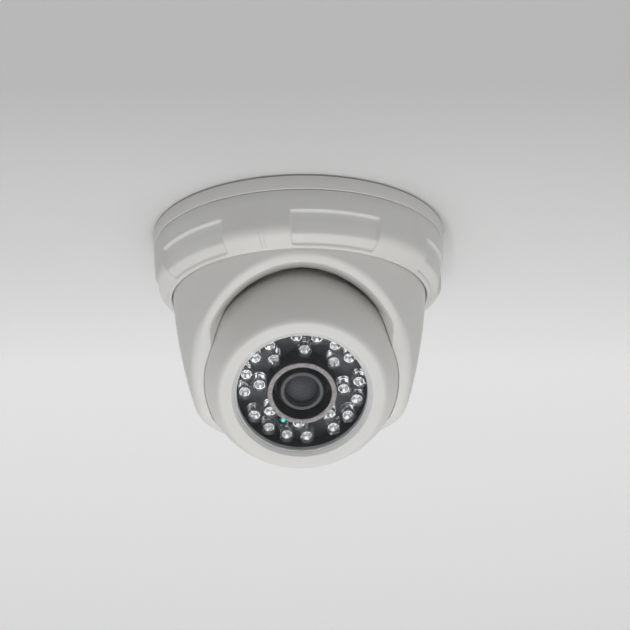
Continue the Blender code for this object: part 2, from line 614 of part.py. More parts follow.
def build_front_shell(material, tilt_axis):
    sphere_start = math.asin(BEZEL_EDGE_D / BALL_RADIUS)
    sphere_end = math.asin(-SEAM_DEPTH / BALL_RADIUS)
    inner_start = math.asin(SHELL_INNER_FACE_D / BALL_CAVITY_RADIUS)
    inner_end = math.asin(-SEAM_DEPTH / BALL_CAVITY_RADIUS)
    shoulder = (BEZEL_RADIUS + BEZEL_EDGE_WIDTH * BEZEL_ROUND_REACH,
                BEZEL_FACE - BEZEL_ROUND * BEZEL_ROUND_FALL)
    profile = [
        (WINDOW_SIGHT_RADIUS, SHELL_INNER_FACE_D),
        (WINDOW_SIGHT_RADIUS, WINDOW_LEDGE_D),
        (BEZEL_MOUTH_RADIUS, WINDOW_LEDGE_D),
        (BEZEL_MOUTH_RADIUS, BEZEL_FACE),
        (BEZEL_RADIUS, BEZEL_FACE),
        shoulder,
        *arc_points((0.0, 0.0), BALL_RADIUS, sphere_start, sphere_end, FRONT_SHELL_POINTS),
        *arc_points((0.0, 0.0), BALL_CAVITY_RADIUS, inner_end, inner_start, FRONT_CAVITY_POINTS),
    ]
    shell = add_object("ball_front_shell", turned(profile, SHELL_STEPS), material, tilt_axis)
    for place in ring_of_places(BOARD_SCREW_COUNT, BOARD_SCREW_CIRCLE, math.pi / 2):
        pilot = cylinder(BOARD_SCREW_RADIUS + SEAT_GAP, SHELL_INNER_FACE_D - BALL_WALL,
                         SHELL_INNER_FACE_D + BOARD_SCREW_BITE + SEAT_GAP, SCREW_STEPS, place)
        combine(shell, pilot, "DIFFERENCE")
    return shell


def build_rear_shell(material, tilt_axis):
    seam = -SEAM_DEPTH - SEAT_GAP
    outer_start = math.asin(seam / BALL_RADIUS)
    outer_end = -math.acos(GROMMET_HOLE_RADIUS / BALL_RADIUS)
    spigot = BALL_CAVITY_RADIUS * math.cos(math.asin(-SEAM_DEPTH / BALL_CAVITY_RADIUS)) - SEAT_GAP
    inner_start = -math.acos(GROMMET_HOLE_RADIUS / BALL_CAVITY_RADIUS)
    inner_end = -math.acos((spigot - SEAM_SPIGOT_WALL) / BALL_CAVITY_RADIUS)
    profile = [
        (spigot, seam + SEAM_SPIGOT_LENGTH),
        (spigot, seam),
        *arc_points((0.0, 0.0), BALL_RADIUS, outer_start, outer_end, REAR_SHELL_POINTS),
        *arc_points((0.0, 0.0), BALL_CAVITY_RADIUS, inner_start, inner_end, REAR_CAVITY_POINTS),
        (spigot - SEAM_SPIGOT_WALL, seam + SEAM_SPIGOT_LENGTH),
    ]
    return add_object("ball_rear_shell", turned(profile, SHELL_STEPS), material, tilt_axis)


def build_grommet(material, tilt_axis):
    waist = GROMMET_HOLE_RADIUS - SEAT_GAP
    flange = GROMMET_HOLE_RADIUS + GROMMET_FLANGE_WIDTH
    outer_end = -math.sqrt(BALL_RADIUS ** 2 - waist ** 2) + SEAT_GAP
    flange_low = -math.sqrt(BALL_CAVITY_RADIUS ** 2 - flange ** 2) + SEAT_GAP
    flange_high = flange_low + GROMMET_FLANGE_THICKNESS
    profile = [
        (GROMMET_BORE_RADIUS, flange_high),
        (flange, flange_high),
        (flange, flange_low),
        (waist, flange_low),
        (waist, outer_end),
        (GROMMET_BORE_RADIUS, outer_end),
    ]
    return add_object("cable_grommet", turned(profile, SMALL_STEPS), material, tilt_axis)


def build_window(glass, silicone, tilt_axis):
    inner = WINDOW_SIGHT_RADIUS + SEAT_GAP
    seal = [(inner, SEAL_FRONT_D), (WINDOW_RADIUS, SEAL_FRONT_D), (WINDOW_RADIUS, SEAL_BACK_D),
            (inner, SEAL_BACK_D)]
    add_object("window_seal", turned(seal, RING_STEPS), silicone, tilt_axis)
    pane = cylinder(WINDOW_RADIUS, WINDOW_BACK_D, WINDOW_FRONT_D, RING_STEPS)
    return add_object("window", pane, glass, tilt_axis)


def build_lamp_board(board_material, carrier_material, screw_material, tilt_axis):
    carrier_back = LAMP_BOARD_FRONT_D + SEAT_GAP
    carrier = add_object("lamp_carrier", turned([
        (CARRIER_INNER_RADIUS, CARRIER_FRONT_D),
        (CARRIER_OUTER_RADIUS, CARRIER_FRONT_D),
        (CARRIER_OUTER_RADIUS, carrier_back),
        (CARRIER_INNER_RADIUS, carrier_back),
    ], RING_STEPS), carrier_material, tilt_axis)
    board = add_object("lamp_board", turned([
        (LAMP_BOARD_HOLE_RADIUS, LAMP_BOARD_FRONT_D),
        (LAMP_BOARD_RADIUS, LAMP_BOARD_FRONT_D),
        (LAMP_BOARD_RADIUS, LAMP_BOARD_BACK_D),
        (LAMP_BOARD_HOLE_RADIUS, LAMP_BOARD_BACK_D),
    ], RING_STEPS), board_material, tilt_axis)
    for index, place in enumerate(ring_of_places(BOARD_SCREW_COUNT, BOARD_SCREW_CIRCLE, math.pi / 2)):
        for piece in (carrier, board):
            hole = cylinder(BOARD_SCREW_RADIUS + SEAT_GAP, LAMP_BOARD_BACK_D - BALL_WALL,
                            CARRIER_FRONT_D + BALL_WALL, SCREW_STEPS, place)
            combine(piece, hole, "DIFFERENCE")
        under = LAMP_BOARD_BACK_D - SEAT_GAP
        screw = screw_mesh(under, under - BOARD_SCREW_HEAD_HEIGHT,
                           SHELL_INNER_FACE_D + BOARD_SCREW_BITE, place)
        add_object(f"board_screw_{index + 1}", screw, screw_material, tilt_axis)
    return board


def led_places():
    places = []
    for group in range(OUTER_LED_GROUPS):
        for index in range(OUTER_LEDS_PER_GROUP):
            step = (OUTER_LEDS_PER_GROUP - 1) / 2 - index
            angle = OUTER_LED_FIRST_ANGLE - 2 * math.pi * group / OUTER_LED_GROUPS
            angle += step * OUTER_LED_STEP
            places.append((OUTER_LED_CIRCLE * math.cos(angle), OUTER_LED_CIRCLE * math.sin(angle)))
    places.extend(ring_of_places(INNER_LED_COUNT, INNER_LED_CIRCLE, INNER_LED_FIRST_ANGLE))
    return places


def lamp_mesh(radius, flange_radius, flange_thickness, length):
    """A round-nosed lamp standing on its seat at z = 0."""
    shoulder = length - radius
    profile = [
        (0.0, 0.0),
        (flange_radius, 0.0),
        (flange_radius, flange_thickness),
        (radius, flange_thickness),
        *arc_points((0.0, shoulder), radius, 0.0, math.pi / 2, LED_NOSE_POINTS)[:-1],
        (0.0, length),
    ]
    return turned_solid(profile, LED_STEPS)


def build_lamps(resin, sensor_material, tilt_axis):
    for index, place in enumerate(led_places()):
        mesh = lamp_mesh(LED_RADIUS, LED_FLANGE_RADIUS, LED_FLANGE_THICKNESS, LED_LENGTH)
        bmesh.ops.translate(mesh, verts=mesh.verts, vec=(place[0], place[1], LAMP_SEAT_D))
        add_object(f"ir_led_{index + 1:02d}", mesh, resin, tilt_axis)
    mesh = lamp_mesh(LIGHT_SENSOR_RADIUS, LIGHT_SENSOR_RADIUS + SEAT_GAP, LED_FLANGE_THICKNESS,
                     LIGHT_SENSOR_LENGTH)
    bmesh.ops.translate(mesh, verts=mesh.verts, vec=(
        INNER_LED_CIRCLE * math.cos(LIGHT_SENSOR_ANGLE),
        INNER_LED_CIRCLE * math.sin(LIGHT_SENSOR_ANGLE), LAMP_SEAT_D))
    add_object("light_sensor", mesh, sensor_material, tilt_axis)


def build_foam_ring(material, tilt_axis):
    front = WINDOW_BACK_D - SEAT_GAP
    profile = [(FOAM_INNER_RADIUS, front), (FOAM_OUTER_RADIUS, front),
               (FOAM_OUTER_RADIUS, LAMP_SEAT_D), (FOAM_INNER_RADIUS, LAMP_SEAT_D)]
    return add_object("foam_light_ring", turned(profile, RING_STEPS), material, tilt_axis)


def build_lens(black, glass, tilt_axis):
    cup_floor = LENS_FRONT_D - LENS_CUP_DEPTH
    seat = cup_floor - LENS_GLASS_THICKNESS - SEAT_GAP
    tail = LENS_HEAD_BACK_D - LENS_TAIL_LENGTH
    barrel = [
        (LENS_CUP_RADIUS, LENS_FRONT_D),
        (LENS_HEAD_RADIUS, LENS_FRONT_D),
        (LENS_HEAD_RADIUS, LENS_HEAD_BACK_D),
        (LENS_THREAD_RADIUS, LENS_HEAD_BACK_D),
        (LENS_THREAD_RADIUS, tail),
        (LENS_BORE_RADIUS, tail),
        (LENS_BORE_RADIUS, seat),
        (LENS_GLASS_RADIUS + SEAT_GAP, seat),
        (LENS_GLASS_RADIUS + SEAT_GAP, cup_floor),
    ]
    add_object("lens_barrel", turned(barrel, SMALL_STEPS), black, tilt_axis)
    bottom = seat + SEAT_GAP
    edge = bottom + LENS_GLASS_THICKNESS
    curve = (LENS_GLASS_RADIUS ** 2 + LENS_GLASS_CROWN ** 2) / (2 * LENS_GLASS_CROWN)
    crown_centre = (0.0, edge + LENS_GLASS_CROWN - curve)
    half = math.asin(LENS_GLASS_RADIUS / curve)
    crown = arc_points(crown_centre, curve, math.pi / 2 - half, math.pi / 2, LENS_CROWN_POINTS)
    profile = [(0.0, bottom), (LENS_GLASS_RADIUS, bottom), *crown[:-1],
               (0.0, edge + LENS_GLASS_CROWN)]
    add_object("front_lens", turned_solid(profile, SMALL_STEPS), glass, tilt_axis)


def build_sensor_board(board_material, black, chip_material, tilt_axis):
    board = cylinder(SENSOR_BOARD_RADIUS, SENSOR_BOARD_BACK_D, SENSOR_BOARD_FRONT_D, RING_STEPS)
    add_object("sensor_board", board, board_material, tilt_axis)
    seat = SENSOR_BOARD_FRONT_D + SEAT_GAP
    bore = LENS_THREAD_RADIUS + SEAT_GAP
    holder = [
        (bore, HOLDER_FRONT_D),
        (bore + HOLDER_WALL, HOLDER_FRONT_D),
        (bore + HOLDER_WALL, seat + HOLDER_FOOT_HEIGHT),
        (HOLDER_FOOT_RADIUS, seat + HOLDER_FOOT_HEIGHT),
        (HOLDER_FOOT_RADIUS, seat),
        (bore, seat),
    ]
    add_object("lens_holder", turned(holder, SMALL_STEPS), black, tilt_axis)
    half = CHIP_SIZE / 2
    chip = extruded([(-half, seat), (half, seat), (half, seat + CHIP_THICKNESS),
                     (-half, seat + CHIP_THICKNESS)], half)
    add_object("image_sensor", chip, chip_material, tilt_axis)


def build_standoffs(material, tilt_axis):
    bottom = SENSOR_BOARD_FRONT_D + SEAT_GAP
    top = LAMP_BOARD_BACK_D - SEAT_GAP
    for index, place in enumerate(ring_of_places(STANDOFF_COUNT, STANDOFF_CIRCLE, -math.pi / 2)):
        post = cylinder(STANDOFF_RADIUS, bottom, top, STANDOFF_STEPS, place)
        add_object(f"board_standoff_{index + 1}", post, material, tilt_axis)


def main():
    clear_scene()
    white = plain_material("white_plastic", WHITE_PLASTIC, 0.45)
    black = plain_material("black_plastic", BLACK_PLASTIC, 0.5)
    rubber = plain_material("black_rubber", RUBBER_BLACK, 0.8)
    silicone = plain_material("clear_silicone", SILICONE_GREY, 0.5)
    glass = plain_material("window_acrylic", SMOKED_GLASS, 0.05)
    lens_glass = plain_material("lens_glass", SMOKED_GLASS, 0.03)
    resin = plain_material("led_resin", CLEAR_RESIN, 0.1)
    sensor = plain_material("light_sensor_resin", BLACK_PLASTIC, 0.2)
    lamp_board = plain_material("lamp_board_mask", BOARD_BLACK, 0.4)
    green_board = plain_material("sensor_board_mask", BOARD_GREEN, 0.4)
    foam = plain_material("grey_foam", FOAM_GREY, 0.95)
    steel = plain_material("steel", STEEL, 0.35, 1.0)

    pan_axis = axis_empty("pan_axis", (0.0, 0.0, 0.0))
    tilt_axis = axis_empty("tilt_axis", (0.0, 0.0, BALL_CENTRE_Z),
                           (math.pi / 2 + BALL_PITCH, 0.0, 0.0), pan_axis)
    bpy.context.view_layer.update()

    build_base_plate(white)
    build_cover_ring(white)
    build_brake_ring(rubber)
    build_hood(white, pan_axis)
    build_ball_clamp(white, steel, pan_axis)
    build_front_shell(white, tilt_axis)
    build_rear_shell(white, tilt_axis)
    build_grommet(rubber, tilt_axis)
    build_window(glass, silicone, tilt_axis)
    build_lamp_board(lamp_board, black, steel, tilt_axis)
    build_lamps(resin, sensor, tilt_axis)
    build_foam_ring(foam, tilt_axis)
    build_lens(black, lens_glass, tilt_axis)
    build_sensor_board(green_board, black, black, tilt_axis)
    build_standoffs(steel, tilt_axis)


main()
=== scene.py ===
import math

import bpy
from mathutils import Matrix, Vector


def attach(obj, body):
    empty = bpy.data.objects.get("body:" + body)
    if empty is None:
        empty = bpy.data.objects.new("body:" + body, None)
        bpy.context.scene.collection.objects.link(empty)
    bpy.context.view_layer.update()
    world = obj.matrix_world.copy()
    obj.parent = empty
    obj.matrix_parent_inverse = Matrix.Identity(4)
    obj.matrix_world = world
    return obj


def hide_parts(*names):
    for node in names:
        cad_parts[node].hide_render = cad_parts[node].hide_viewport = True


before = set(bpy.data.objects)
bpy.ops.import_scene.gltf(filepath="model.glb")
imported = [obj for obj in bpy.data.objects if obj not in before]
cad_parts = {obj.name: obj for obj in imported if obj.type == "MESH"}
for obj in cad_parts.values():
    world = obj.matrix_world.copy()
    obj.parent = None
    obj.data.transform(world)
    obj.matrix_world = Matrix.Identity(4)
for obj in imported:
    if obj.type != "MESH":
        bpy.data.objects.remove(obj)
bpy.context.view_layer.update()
mm = 0.001


def deselectAll():
    if bpy.context.object and bpy.context.object.mode != "OBJECT":
        bpy.ops.object.mode_set(mode="OBJECT")
    bpy.ops.object.select_all(action="DESELECT")


def makeActive(piece):
    deselectAll()
    piece.select_set(True)
    bpy.context.view_layer.objects.active = piece


def arc(centre, radius, start, end, count):
    points = []
    for index in range(count):
        angle = math.radians(start + (end - start) * index / (count - 1))
        points.append((centre[0] + radius * math.cos(angle), centre[1] + radius * math.sin(angle)))
    return points


# quadratic curve used for every rounded edge
def rounded(first, corner, last, count):
    points = []
    for index in range(count):
        t = index / (count - 1)
        weights = ((1 - t) ** 2, 2 * t * (1 - t), t * t)
        points.append(tuple(sum(w * p[axis] for w, p in zip(weights, (first, corner, last)))
                            for axis in (0, 1)))
    return points


# one vertex is walked along the section in millimetres, then the section is spun
def turnPiece(name, points, steps, sharp=35):
    deselectAll()
    bpy.ops.mesh.primitive_plane_add(size=mm)
    piece = bpy.context.object
    piece.name = piece.data.name = name
    bpy.ops.object.mode_set(mode="EDIT")
    bpy.ops.mesh.select_all(action="SELECT")
    bpy.ops.mesh.merge(type="CENTER")
    bpy.ops.transform.translate(value=(points[0][0] * mm, 0, points[0][1] * mm))
    for before, after in zip(points, points[1:]):
        step = ((after[0] - before[0]) * mm, 0, (after[1] - before[1]) * mm)
        bpy.ops.mesh.extrude_region_move(TRANSFORM_OT_translate={"value": step})
    bpy.ops.mesh.select_all(action="SELECT")
    bpy.ops.mesh.remove_doubles(threshold=1e-6)
    bpy.ops.mesh.spin(steps=steps, angle=2 * math.pi, center=(0, 0, 0), axis=(0, 0, 1))
    bpy.ops.mesh.select_all(action="SELECT")
    bpy.ops.mesh.remove_doubles(threshold=1e-6)
    bpy.ops.mesh.normals_make_consistent(inside=False)
    bpy.ops.object.mode_set(mode="OBJECT")
    bpy.ops.object.shade_smooth_by_angle(angle=math.radians(sharp))
    return piece


# a torus whose small loop is given a new section at each angle round Z
def sweepPiece(name, angles, sectionAt, sharp=35):
    loops = [sectionAt(angle) for angle in angles]
    deselectAll()
    bpy.ops.mesh.primitive_torus_add(major_segments=len(angles), minor_segments=len(loops[0]),
                                     major_radius=45 * mm, minor_radius=5 * mm)
    piece = bpy.context.object
    piece.name = piece.data.name = name
    spots = [spot for loop in loops for spot in loop]
    for vertex, (radius, height, angle) in zip(piece.data.vertices, spots):
        vertex.co = (radius * math.cos(angle) * mm, radius * math.sin(angle) * mm, height * mm)
    bpy.ops.object.mode_set(mode="EDIT")
    bpy.ops.mesh.select_all(action="SELECT")
    bpy.ops.mesh.normals_make_consistent(inside=False)
    bpy.ops.object.mode_set(mode="OBJECT")
    bpy.ops.object.shade_smooth_by_angle(angle=math.radians(sharp))
    return piece


def applyBoolean(piece, tool, operation):
    makeActive(piece)
    cut = piece.modifiers.new("cut", "BOOLEAN")
    cut.operation = operation
    cut.object = tool
    bpy.ops.object.modifier_apply(modifier=cut.name)
    makeActive(tool)
    bpy.ops.object.delete()


ball = {"centre": -53.8, "pitch": 50.4}


# pieces of the camera ball are turned along Z and then laid on its line of sight
def layOnBall(piece):
    makeActive(piece)
    piece.rotation_euler = (math.radians(90 + ball["pitch"]), 0, 0)
    piece.location = (0, 0, ball["centre"] * mm)
    bpy.ops.object.transform_apply(location=True, rotation=True, scale=True)


def settle(piece, body, slot, material, *nodes):
    piece.data.materials.clear()
    for item in material if isinstance(material, (list, tuple)) else [material]:
        piece.data.materials.append(item)
    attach(piece, body)
    if nodes:
        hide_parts(*nodes)


class Wire:
    def __init__(self, tree, socket):
        self.tree = tree
        self.socket = socket

    def make(self, kind, inputs=None, settings=None, out=0):
        node = self.tree.nodes.new(kind)
        for key, value in (settings or {}).items():
            setattr(node, key, value)
        for key, value in (inputs or {}).items():
            if isinstance(value, Wire):
                self.tree.links.new(value.socket, node.inputs[key])
            else:
                node.inputs[key].default_value = value
        return Wire(self.tree, node.outputs[out])

    def math(self, operation, first, second=0.0):
        return self.make("ShaderNodeMath", {0: first, 1: second}, {"operation": operation})

    def __add__(self, other):
        return self.math("ADD", self, other)

    __radd__ = __add__

    def __sub__(self, other):
        return self.math("SUBTRACT", self, other)

    def __rsub__(self, other):
        return self.math("SUBTRACT", other, self)

    def __mul__(self, other):
        return self.math("MULTIPLY", self, other)

    __rmul__ = __mul__

    def noise(self, scale, detail=2.0, rough=0.5):
        return self.make("ShaderNodeTexNoise", {"Vector": self, "Scale": scale, "Detail": detail, "Roughness": rough})

    def between(self, low, high):
        return self.make("ShaderNodeMapRange", {"Value": self, "From Min": low, "From Max": high})

    def blend(self, first, second):
        return self.make("ShaderNodeMixRGB", {"Fac": self, "Color1": first, "Color2": second})


def startMaterial(name, **fixed):
    material = bpy.data.materials.new(name)
    material.use_nodes = True
    tree = material.node_tree
    shader = tree.nodes["Principled BSDF"]
    for key, value in fixed.items():
        shader.inputs[key.replace("_", " ")].default_value = value
    coords = Wire(tree, tree.nodes.new("ShaderNodeTexCoord").outputs["Object"])
    return material, shader, coords


def feed(shader, name, wire):
    wire.tree.links.new(wire.socket, shader.inputs[name])


def addBump(shader, height, strength, distance):
    bump = height.make("ShaderNodeBump", {"Height": height, "Strength": strength, "Distance": distance})
    feed(shader, "Normal", bump)


# how far a point lies in front of the ball's centre, along its line of sight
def sightDepth(coords):
    pitch = math.radians(ball["pitch"])
    forward = coords.make("ShaderNodeSeparateXYZ", {0: coords}, out=1) * -math.cos(pitch)
    down = coords.make("ShaderNodeSeparateXYZ", {0: coords}, out=2) - ball["centre"] * mm
    return forward - down * math.sin(pitch)


print("camera")
camera = {
    "target": (0.005793, 0.0, -0.030572),
    "distance": 1.2545,
    "below": 22.36,
    "turn": -1.9,
    "roll": -1.163,
    "lens": 190.36,
    "shift": (0.0, -0.0095),
}
below = math.radians(camera["below"])
back = Vector((0.0, -math.cos(below), -math.sin(below)))
turn = Matrix.Rotation(math.radians(camera["turn"]), 3, "Z")
deselectAll()
bpy.ops.object.camera_add(location=turn @ (Vector(camera["target"]) + back * camera["distance"]))
eye = bpy.context.object
eye.name = "eye"
look = (-(turn @ back)).to_track_quat("-Z", "Y")
eye.rotation_mode = "QUATERNION"
eye.rotation_quaternion = look @ Matrix.Rotation(math.radians(camera["roll"]), 3, "Z").to_quaternion()
eye.data.lens = camera["lens"]
eye.data.shift_x, eye.data.shift_y = camera["shift"]
eye.data.clip_end = 20.0
bpy.context.scene.camera = eye

print("materials")
# the contact and lip entries are the colours and reaches of painted shade
plasticLook = {
    "light": (0.80, 0.795, 0.77, 1), "dark": (0.77, 0.763, 0.735, 1), "patch": 38, "grain": 2600,
    "roughness": 0.40, "roughnessSpread": 0.12, "bump": 0.12, "bumpDepth": 0.00004,
    "contact": (0.16, 0.16, 0.155, 1), "contactHeight": (-0.0006, -0.0002), "contactReach": (0.0543, 0.0547),
    "lip": (0.16, 0.157, 0.148, 1), "lipReach": (0.0480, 0.0395), "lipHeight": (-0.046, -0.035),
    "lipDim": (0.12, 0.35),
}


# the white plastics share patches, grain and gloss; a painted shade says where a darker colour comes in
def whiteFinish(name, paintedShade=None):
    material, shader, coords = startMaterial(name)
    patch = coords.noise(plasticLook["patch"], 4, 0.6)
    grain = coords.noise(plasticLook["grain"], 1)
    colour = patch.between(0.35, 0.7).blend(plasticLook["light"], plasticLook["dark"])
    if paintedShade:
        mask, darker = paintedShade(coords)
        colour = mask.blend(colour, darker)
    feed(shader, "Base Color", colour)
    feed(shader, "Roughness", grain * plasticLook["roughnessSpread"] + plasticLook["roughness"])
    addBump(shader, grain, plasticLook["bump"], plasticLook["bumpDepth"])
    return material


# painted contact shadow: a thin dark line where the base's edge meets the ceiling
def paintedContactShadow(coords):
    height = coords.make("ShaderNodeSeparateXYZ", {0: coords}, out=2)
    flat = coords.make("ShaderNodeVectorMath", {0: coords, 1: (1, 1, 0)}, {"operation": "MULTIPLY"})
    reach = flat.make("ShaderNodeVectorMath", {0: flat}, {"operation": "LENGTH"}, out="Value")
    mask = height.between(*plasticLook["contactHeight"]) * reach.between(*plasticLook["contactReach"])
    return mask, plasticLook["contact"]


# painted shade: the arch's turned-in lip is painted darker towards the ball
def paintedLipShade(coords):
    height = coords.make("ShaderNodeSeparateXYZ", {0: coords}, out=2)
    reach = coords.make("ShaderNodeVectorMath", {0: coords, 1: (0, 0, ball["centre"] * mm)},
                        {"operation": "DISTANCE"}, out="Value")
    least, more = plasticLook["lipDim"]
    mask = (reach.between(*plasticLook["lipReach"]) * more + least) * height.between(*plasticLook["lipHeight"])
    return mask, plasticLook["lip"]


# one noise drives colour, gloss and any bump; grain is scale and detail, gloss is spread and least roughness
def grainFinish(name, grain, span, colours, gloss, bump=None, **fixed):
    material, shader, coords = startMaterial(name, **fixed)
    noise = coords.noise(*grain)
    feed(shader, "Base Color", noise.between(*span).blend(*colours))
    feed(shader, "Roughness", noise * gloss[0] + gloss[1])
    if bump:
        addBump(shader, noise, *bump)
    return material


whitePlastic = whiteFinish("whitePlastic")
# the base plate's copy of the white plastic carries a painted contact shadow at its top edge
rimShadowPlastic = whiteFinish("rimShadowPlastic", paintedContactShadow)
lipShadowPlastic = whiteFinish("lipShadowPlastic", paintedLipShade)
blackPlastic = grainFinish("blackPlastic", (1800, 2), (0.3, 0.7),
                           ((0.012, 0.012, 0.013, 1), (0.022, 0.022, 0.023, 1)), (0.2, 0.35), (0.15, 0.00004))
rubber = grainFinish("rubber", (900, 3), (0.3, 0.7), ((0.02, 0.02, 0.02, 1), (0.035, 0.034, 0.033, 1)),
                     (0.2, 0.65), (0.2, 0.00005))
steel = grainFinish("steel", (1200, 2), (0.3, 0.7), ((0.55, 0.55, 0.55, 1), (0.68, 0.68, 0.67, 1)),
                    (0.2, 0.22), Metallic=1.0)
silicone = grainFinish("silicone", (700, 2), (0.3, 0.7), ((0.83, 0.825, 0.80, 1), (0.87, 0.865, 0.845, 1)),
                       (0.2, 0.35))
lampMask = grainFinish("lampMask", (420, 3), (0.35, 0.65), ((0.052, 0.054, 0.064, 1), (0.088, 0.091, 0.104, 1)),
                       (0.25, 0.3), (0.1, 0.00005))
sensorMask = grainFinish("sensorMask", (300, 3), (0.3, 0.7), ((0.01, 0.09, 0.04, 1), (0.02, 0.15, 0.07, 1)),
                         (0.2, 0.3))
silver = grainFinish("silver", (2500, 2), (0.3, 0.7), ((0.70, 0.70, 0.69, 1), (0.95, 0.95, 0.94, 1)),
                     (0.15, 0.05), Metallic=1.0)
# a soft sheen, because a mirror this dark renders grainy; the dark blue-grey base colour is partly the glass's own
# tint and partly a painted reflection
lensGlass = grainFinish("lensGlass", (160, 2), (0.3, 0.7), ((0.034, 0.036, 0.045, 1), (0.048, 0.050, 0.061, 1)),
                        (0.08, 0.38), IOR=1.35)

foam, shader, coords = startMaterial("foam")
cells = coords.noise(2600, 2, 0.7)
clumps = coords.noise(600, 2)
speckle = (cells * 0.85 + clumps * 0.15).between(0.38, 0.60).blend((0.20, 0.18, 0.175, 1), (0.80, 0.75, 0.73, 1))
feed(shader, "Base Color", sightDepth(coords).between(0.0199, 0.0203).blend((0.016, 0.016, 0.018, 1), speckle))
feed(shader, "Roughness", cells * 0.2 + 0.8)
addBump(shader, cells, 0.9, 0.0003)

resin, shader, coords = startMaterial("resin", Transmission_Weight=0.95, IOR=1.5)
shader.inputs["Base Color"].default_value = (0.97, 0.975, 0.985, 1)
feed(shader, "Roughness", coords.noise(500, 2) * 0.05)
addBump(shader, coords.noise(700, 2), 0.25, 0.0003)

# painted glint: a small spot on the sensor's dome is painted bright teal and made to glow
sensorGlintSpot = (-0.0067, -0.0001, -0.0750)
sensorResin, shader, coords = startMaterial("sensorResin", Coat_Weight=1.0, Coat_Roughness=0.05)
grain = coords.noise(700, 2)
spot = coords.make("ShaderNodeVectorMath", {0: coords, 1: sensorGlintSpot}, {"operation": "DISTANCE"}, out="Value")
body = grain.between(0.3, 0.7).blend((0.004, 0.02, 0.022, 1), (0.01, 0.04, 0.04, 1))
feed(shader, "Base Color", spot.between(0.0006, 0.0012).blend((0.02, 0.85, 0.75, 1), body))
feed(shader, "Emission Color", spot.between(0.0004, 0.0010).blend((0.0, 0.75, 0.65, 1), (0, 0, 0, 1)))
shader.inputs["Emission Strength"].default_value = 0.8
feed(shader, "Roughness", grain * 0.1 + 0.1)

barrelPlastic, shader, coords = startMaterial("barrelPlastic")
grain = coords.noise(1500, 2)
# painted sheen: the barrel's front face is painted a lighter grey than its dark sides
frontRingSheen = grain.blend((0.075, 0.075, 0.08, 1), (0.11, 0.11, 0.115, 1))
feed(shader, "Base Color", sightDepth(coords).between(0.0182, 0.0186).blend((0.020, 0.020, 0.023, 1), frontRingSheen))
feed(shader, "Roughness", grain * 0.2 + 0.4)

acrylic = bpy.data.materials.new("acrylic")
acrylic.use_nodes = True
acrylicTree = acrylic.node_tree
acrylicTree.nodes.remove(acrylicTree.nodes["Principled BSDF"])
start = Wire(acrylicTree, acrylicTree.nodes.new("ShaderNodeTexCoord").outputs["Object"])
gloss = start.make("ShaderNodeBsdfGlossy", {"Color": (0.9, 0.9, 0.92, 1), "Roughness": start.noise(300, 2) * 0.04})
clear = start.make("ShaderNodeBsdfTransparent", {"Color": (0.975, 0.98, 0.985, 1)})
sheen = start.make("ShaderNodeFresnel", {"IOR": 1.14})
pane = start.make("ShaderNodeMixShader", {0: sheen, 1: clear, 2: gloss})
acrylicTree.links.new(pane.socket, acrylicTree.nodes["Material Output"].inputs["Surface"])

print("base plate")
basePlate = {"radius": 55.0, "rim": 5.6, "plate": 3.0, "spigot": (48.35, 50.55), "foot": -15.19,
             "edge": 0.35, "screwCircle": 32.0, "screwHole": 2.2, "cableHole": 9.0, "cableAt": 20.0,
             "drill": 20.0, "drillTurn": 0.03}
edge = basePlate["edge"]
plateSection = [
    (0, 0),
    *rounded((basePlate["radius"] - edge, 0), (basePlate["radius"], 0), (basePlate["radius"], -edge), 4),
    *rounded((basePlate["radius"], edge - basePlate["rim"]), (basePlate["radius"], -basePlate["rim"]),
             (basePlate["radius"] - edge, -basePlate["rim"]), 4),
    (basePlate["spigot"][1], -basePlate["rim"]),
    (basePlate["spigot"][1], basePlate["foot"]),
    (basePlate["spigot"][0], basePlate["foot"]),
    (basePlate["spigot"][0], -basePlate["plate"]),
    (0, -basePlate["plate"]),
]
plate = turnPiece("basePlate", plateSection, 180)
holes = [(basePlate["cableHole"], 90, basePlate["cableAt"])]
holes += [(basePlate["screwHole"], angle, basePlate["screwCircle"]) for angle in (-90, 30, 150)]
for size, angle, reach in holes:
    spot = (reach * math.cos(math.radians(angle)) * mm, reach * math.sin(math.radians(angle)) * mm, 0)
    deselectAll()
    bpy.ops.mesh.primitive_cylinder_add(vertices=64, radius=size * mm, depth=basePlate["drill"] * mm, location=spot,
                                        rotation=(0, 0, basePlate["drillTurn"]))
    applyBoolean(plate, bpy.context.object, "DIFFERENCE")
makeActive(plate)
bpy.ops.object.shade_smooth_by_angle(angle=math.radians(35))
settle(plate, "base", "white_housing", rimShadowPlastic, "base_plate")

print("cover ring")
coverRing = {"span": 36.0, "pitch": 64.4, "first": 13.6, "end": 0.75, "corner": 1.8, "cornerFoot": -25.6,
             "cornerReach": 50.0, "spread": 5.0, "bendCentre": (49.0, -19.19), "bend": 5.5}
